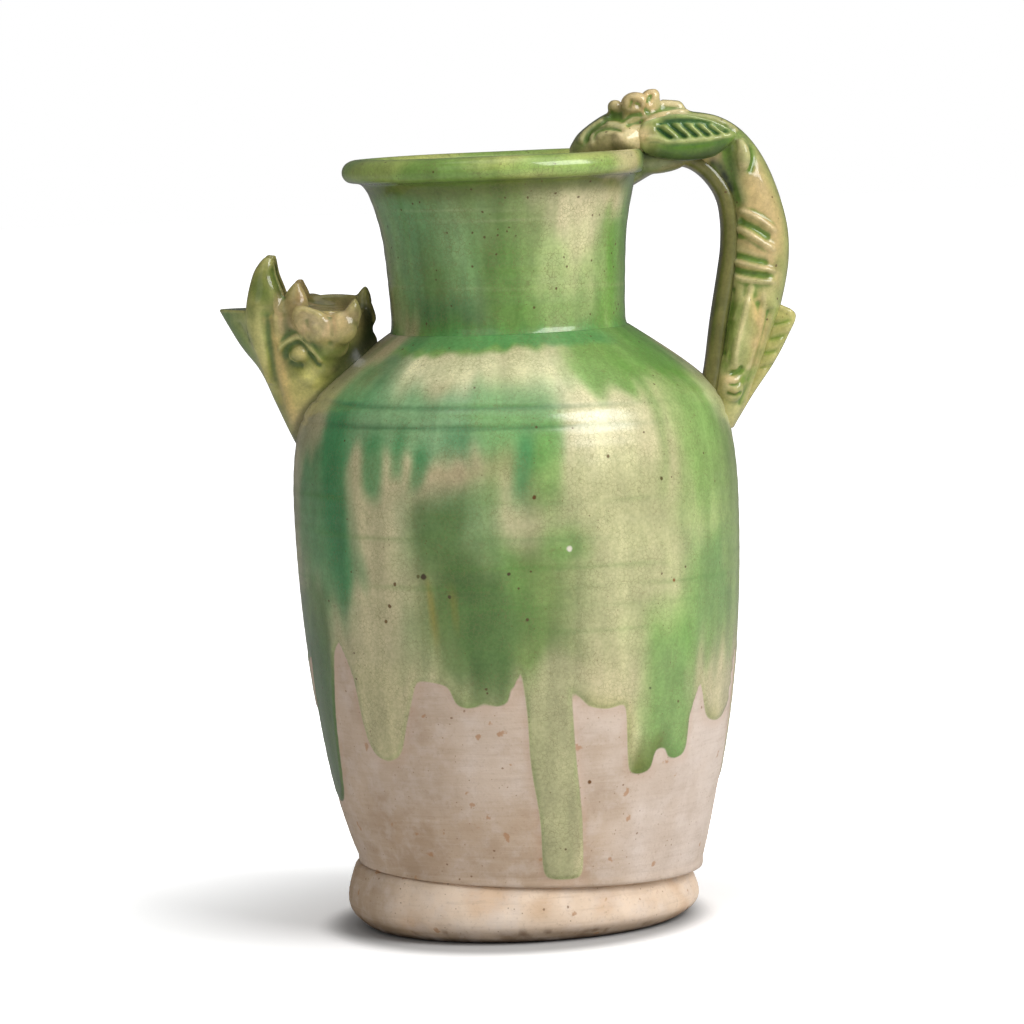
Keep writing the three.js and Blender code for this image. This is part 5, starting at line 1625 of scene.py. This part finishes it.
FIN_STROKES = [
    (0.8, 0.8, [(-24, 91), (-18, 93.3), (-12, 94), (-5, 93.4), (0, 91.9), (4.6, 89.3)]),
    (-0.9, 0.8, [(-19, 91.6), (-14, 92.3), (-8, 92.3), (-3, 91.8), (3, 90), (5, 88.6)]),
    (0.9, 0.9, [(-23, 86.8), (-19, 87), (-15, 85.8), (-10, 85.7), (-5, 85.9), (0, 86.2), (6.5, 87.3)]),
    (0.8, 3.0, [(-18, 83.4), (-10, 82.6), (-2, 83.4)]),
    *[(-1.5, 0.85, notch) for notch in NOTCHES],
    *[(0.5, 0.5, rib) for rib in FIN_RIBS],
]
FIN_TOUCHES = [
    ((86, 124, 38), 2.4, 0.9, [(-20, 84.6), (-10, 83.8), (0, 84.6), (5, 86)]),
    ((50, 68, 28), 3.0, 0.95, [(-20, 81.4), (-12, 79.6), (-4, 79.8), (3, 82)]),
    ((182, 184, 126), 0.9, 0.85, [(-23, 86.8), (-15, 85.9), (-5, 86), (6.5, 87.3)]),
    ((150, 164, 104), 0.9, 0.8, [(-24, 91), (-18, 93.3), (-12, 94), (-5, 93.4), (0, 91.9), (5, 89.2)]),
    ((36, 82, 32), 0.8, 0.95, [(-17, 92), (-12, 92.4), (-5, 92.1), (2, 90.3)]),
    ((222, 196, 148), 4.2, 0.9, [(-29, 86.6), (-23.4, 88.2)]),
    *[((62, 104, 60), 0.85, 0.9, notch) for notch in NOTCHES],
    *[((172, 184, 116), 0.85, 0.9, rib) for rib in FIN_RIBS],
]
TAIL_CUTS = [
    [(24, 25.4), (19.5, 24.4), (16.6, 24)], [(22.4, 20.6), (18, 19.6), (15, 19.2)],
    [(19.4, 15.6), (16, 15), (13, 14.8)], [(16.4, 10.4), (12.6, 10)],
]
GREEN_CUTS = [[(24, 25.2), (16.6, 24)], [(22.4, 20.4), (15, 19)], [(19.4, 15.4), (13, 14.6)]]
TAIL_STROKES = [(0.7, 0.9, [(18.5, 30), (24.5, 27.4)]), *[(-0.5, 0.8, cut) for cut in TAIL_CUTS]]
TAIL_TOUCHES = [
    ((178, 174, 112), 1.6, 0.8, [(18.5, 30), (25, 27), (21.5, 18.5), (16, 9)]),
    *[((134, 148, 66), 1.1, 0.7, cut) for cut in GREEN_CUTS],
]


def make_fins(material):
    """Two ear fins with their ribs, and the tail fin."""
    for hand, name in ((-1, "left"), (1, "right")):
        leaf = loft(HANDLE_SIDE, 3.7, EAR_FIN, middle=11.0 * hand, square=0.9)
        skin = Skin(melted(f"ear_fin_{name}_glazed", [leaf], 0.3), HANDLE_SIDE, 3)
        skin.draw(FIN_STROKES)
        coat = skin.painted((116, 142, 66), FIN_TOUCHES, (54, 96, 50), (166, 172, 112))
        skin.finish(coat, material, [f"ear_fin_{name}"])
    blade = loft(HANDLE_SIDE, 4.4, TAIL_FIN, square=0.7)
    skin = Skin(melted("tail_fin_glazed", [blade], 0.4, [body_core()]), HANDLE_SIDE, 4)
    skin.draw(TAIL_STROKES)
    coat = skin.painted((176, 168, 106), TAIL_TOUCHES, (112, 132, 54), (196, 184, 126))
    skin.finish(coat, material, ["tail_fin"])


make_fins(beast_fired)

# %% [markdown]
# ## The table and the light
#
# The photographer's table is a white sweep, lit so that it burns out to plain white but for the
# shadow. Turning the lamps up until the floor clips would wash out the glaze as well. So the lamps
# stay at a plain level, and the floor adds light of its own: none under the foot and in a painted
# shadow round it, a little beyond that, and more with the distance, so that the painted shadow fades
# away from the foot. Only the camera sees that light. The floor's white is painted darker round the
# foot as a painted contact shadow, and it is darker in reflections, so that it doesn't light up the
# lower wall.

# %% Table, lamps and world
TABLE_RADIUS, TABLE_HEIGHT, TABLE_SIDES = 9000, -0.05, 96
FLOOR_GLOW = 0.22
GLOW_REACH = (0.06, 0.27)
# A painted contact shadow round the foot: its soft edge, and how it is squeezed and moved, in metres.
SHADOW_EDGE = (0.0555, 0.0685)
SHADOW_SHAPE, SHADOW_PLACE = (1.0, 0.86, 1.0), (-0.005, 0.0, 0.0)
LAMP_AIM = [0, 0, 0.14]
WORLD_FILL, WORLD_SEEN, WORLD_MIRRORED = 0.34, 0.66, 0.25

# Each lamp: its name, its turn and rise in degrees, its distance and size in metres, and its watts.
LAMPS = [("key", 50, 36, 1.5, 0.9, 18.4), ("fill", -30, 30, 1.9, 1.2, 2.5), ("top", 20, 80, 1.6, 1.3, 5)]


def grey(level):
    """A linear grey for a colour socket."""
    return colour([level] * 3)


def table_material():
    """White, with a glow that only the camera sees, and a painted shadow round the foot where glow and
    white are less.
    """
    material = bpy.data.materials.new("white_table")
    start = new_shading(material)
    place = start.place()
    away = place.vector("LENGTH", output=1)
    # A painted shadow round the foot: the glow is left out of it and grows with the distance.
    flatter = place.vector("MULTIPLY", SHADOW_SHAPE)
    clear = flatter.vector("DISTANCE", SHADOW_PLACE, output=1).between(*SHADOW_EDGE)
    glow = away.between(*GLOW_REACH) * (1 - FLOOR_GLOW) + clear * FLOOR_GLOW
    glow = start.asked_by("Is Camera Ray") * glow
    # Painted shadow: the white is greyer round the foot, and a darker grey in reflections.
    white = start.asked_by("Is Glossy Ray").mix(clear.mix(grey(0.5), grey(0.94)), grey(0.4))
    looks = {"Emission Color": glow.mix(grey(0), grey(1)), "Base Color": white}
    finish_material(start, looks, {"Roughness": 0.9, "Emission Strength": 1.0, "Specular IOR Level": 0.1})
    return material


def make_table():
    """A wide flat disc on which the foot stands, as a fan of triangles."""
    turn = np.linspace(0, 2 * np.pi, TABLE_SIDES, endpoint=False)
    edge = TABLE_RADIUS * np.stack([np.cos(turn), np.sin(turn), 0 * turn], axis=1)
    points = np.concatenate([edge, [[0, 0, 0]]]) + [0, 0, TABLE_HEIGHT]
    here = np.arange(TABLE_SIDES)
    fan = np.stack([here, (here + 1) % TABLE_SIDES, np.full(TABLE_SIDES, TABLE_SIDES)], axis=1)
    mesh = make_mesh("table", points, NO_QUADS, fan)
    mesh.materials.append(table_material())
    add_object("table", mesh)


def make_lamp(name, turn, rise, distance, size, watts):
    """A square soft box that looks at the middle of the ewer from a turn and rise in degrees."""
    light = bpy.data.lights.new(name, "AREA")
    light.size = size
    light.energy = watts
    a, e = math.radians(turn), math.radians(rise)
    back = np.array([math.sin(a) * math.cos(e), -math.cos(a) * math.cos(e), math.sin(e)])
    across = np.cross([0, 0, 1.0], back)
    across /= np.linalg.norm(across)
    set_up(add_object(name, light), across, np.cross(back, across), back, back * distance + LAMP_AIM)
    print("lamp", name, "gives", watts, "watts from", distance, "m")


def make_world():
    """White all round to the camera, greyer in reflections, and a soft grey fill to the surfaces."""
    world = bpy.data.worlds.new("studio")
    bpy.context.scene.world = world
    start = new_shading(world)
    strength = WORLD_FILL + start.asked_by("Is Camera Ray") * WORLD_SEEN
    strength = strength - start.asked_by("Is Glossy Ray") * WORLD_MIRRORED
    settings = {"Color": (1, 1, 1, 1), "Strength": strength}
    send_out(start.node("ShaderNodeBackground", (), settings), "ShaderNodeOutputWorld")


make_table()
make_world()
for lamp in LAMPS:
    make_lamp(*lamp)
bpy.context.scene.view_settings.view_transform = "Standard"
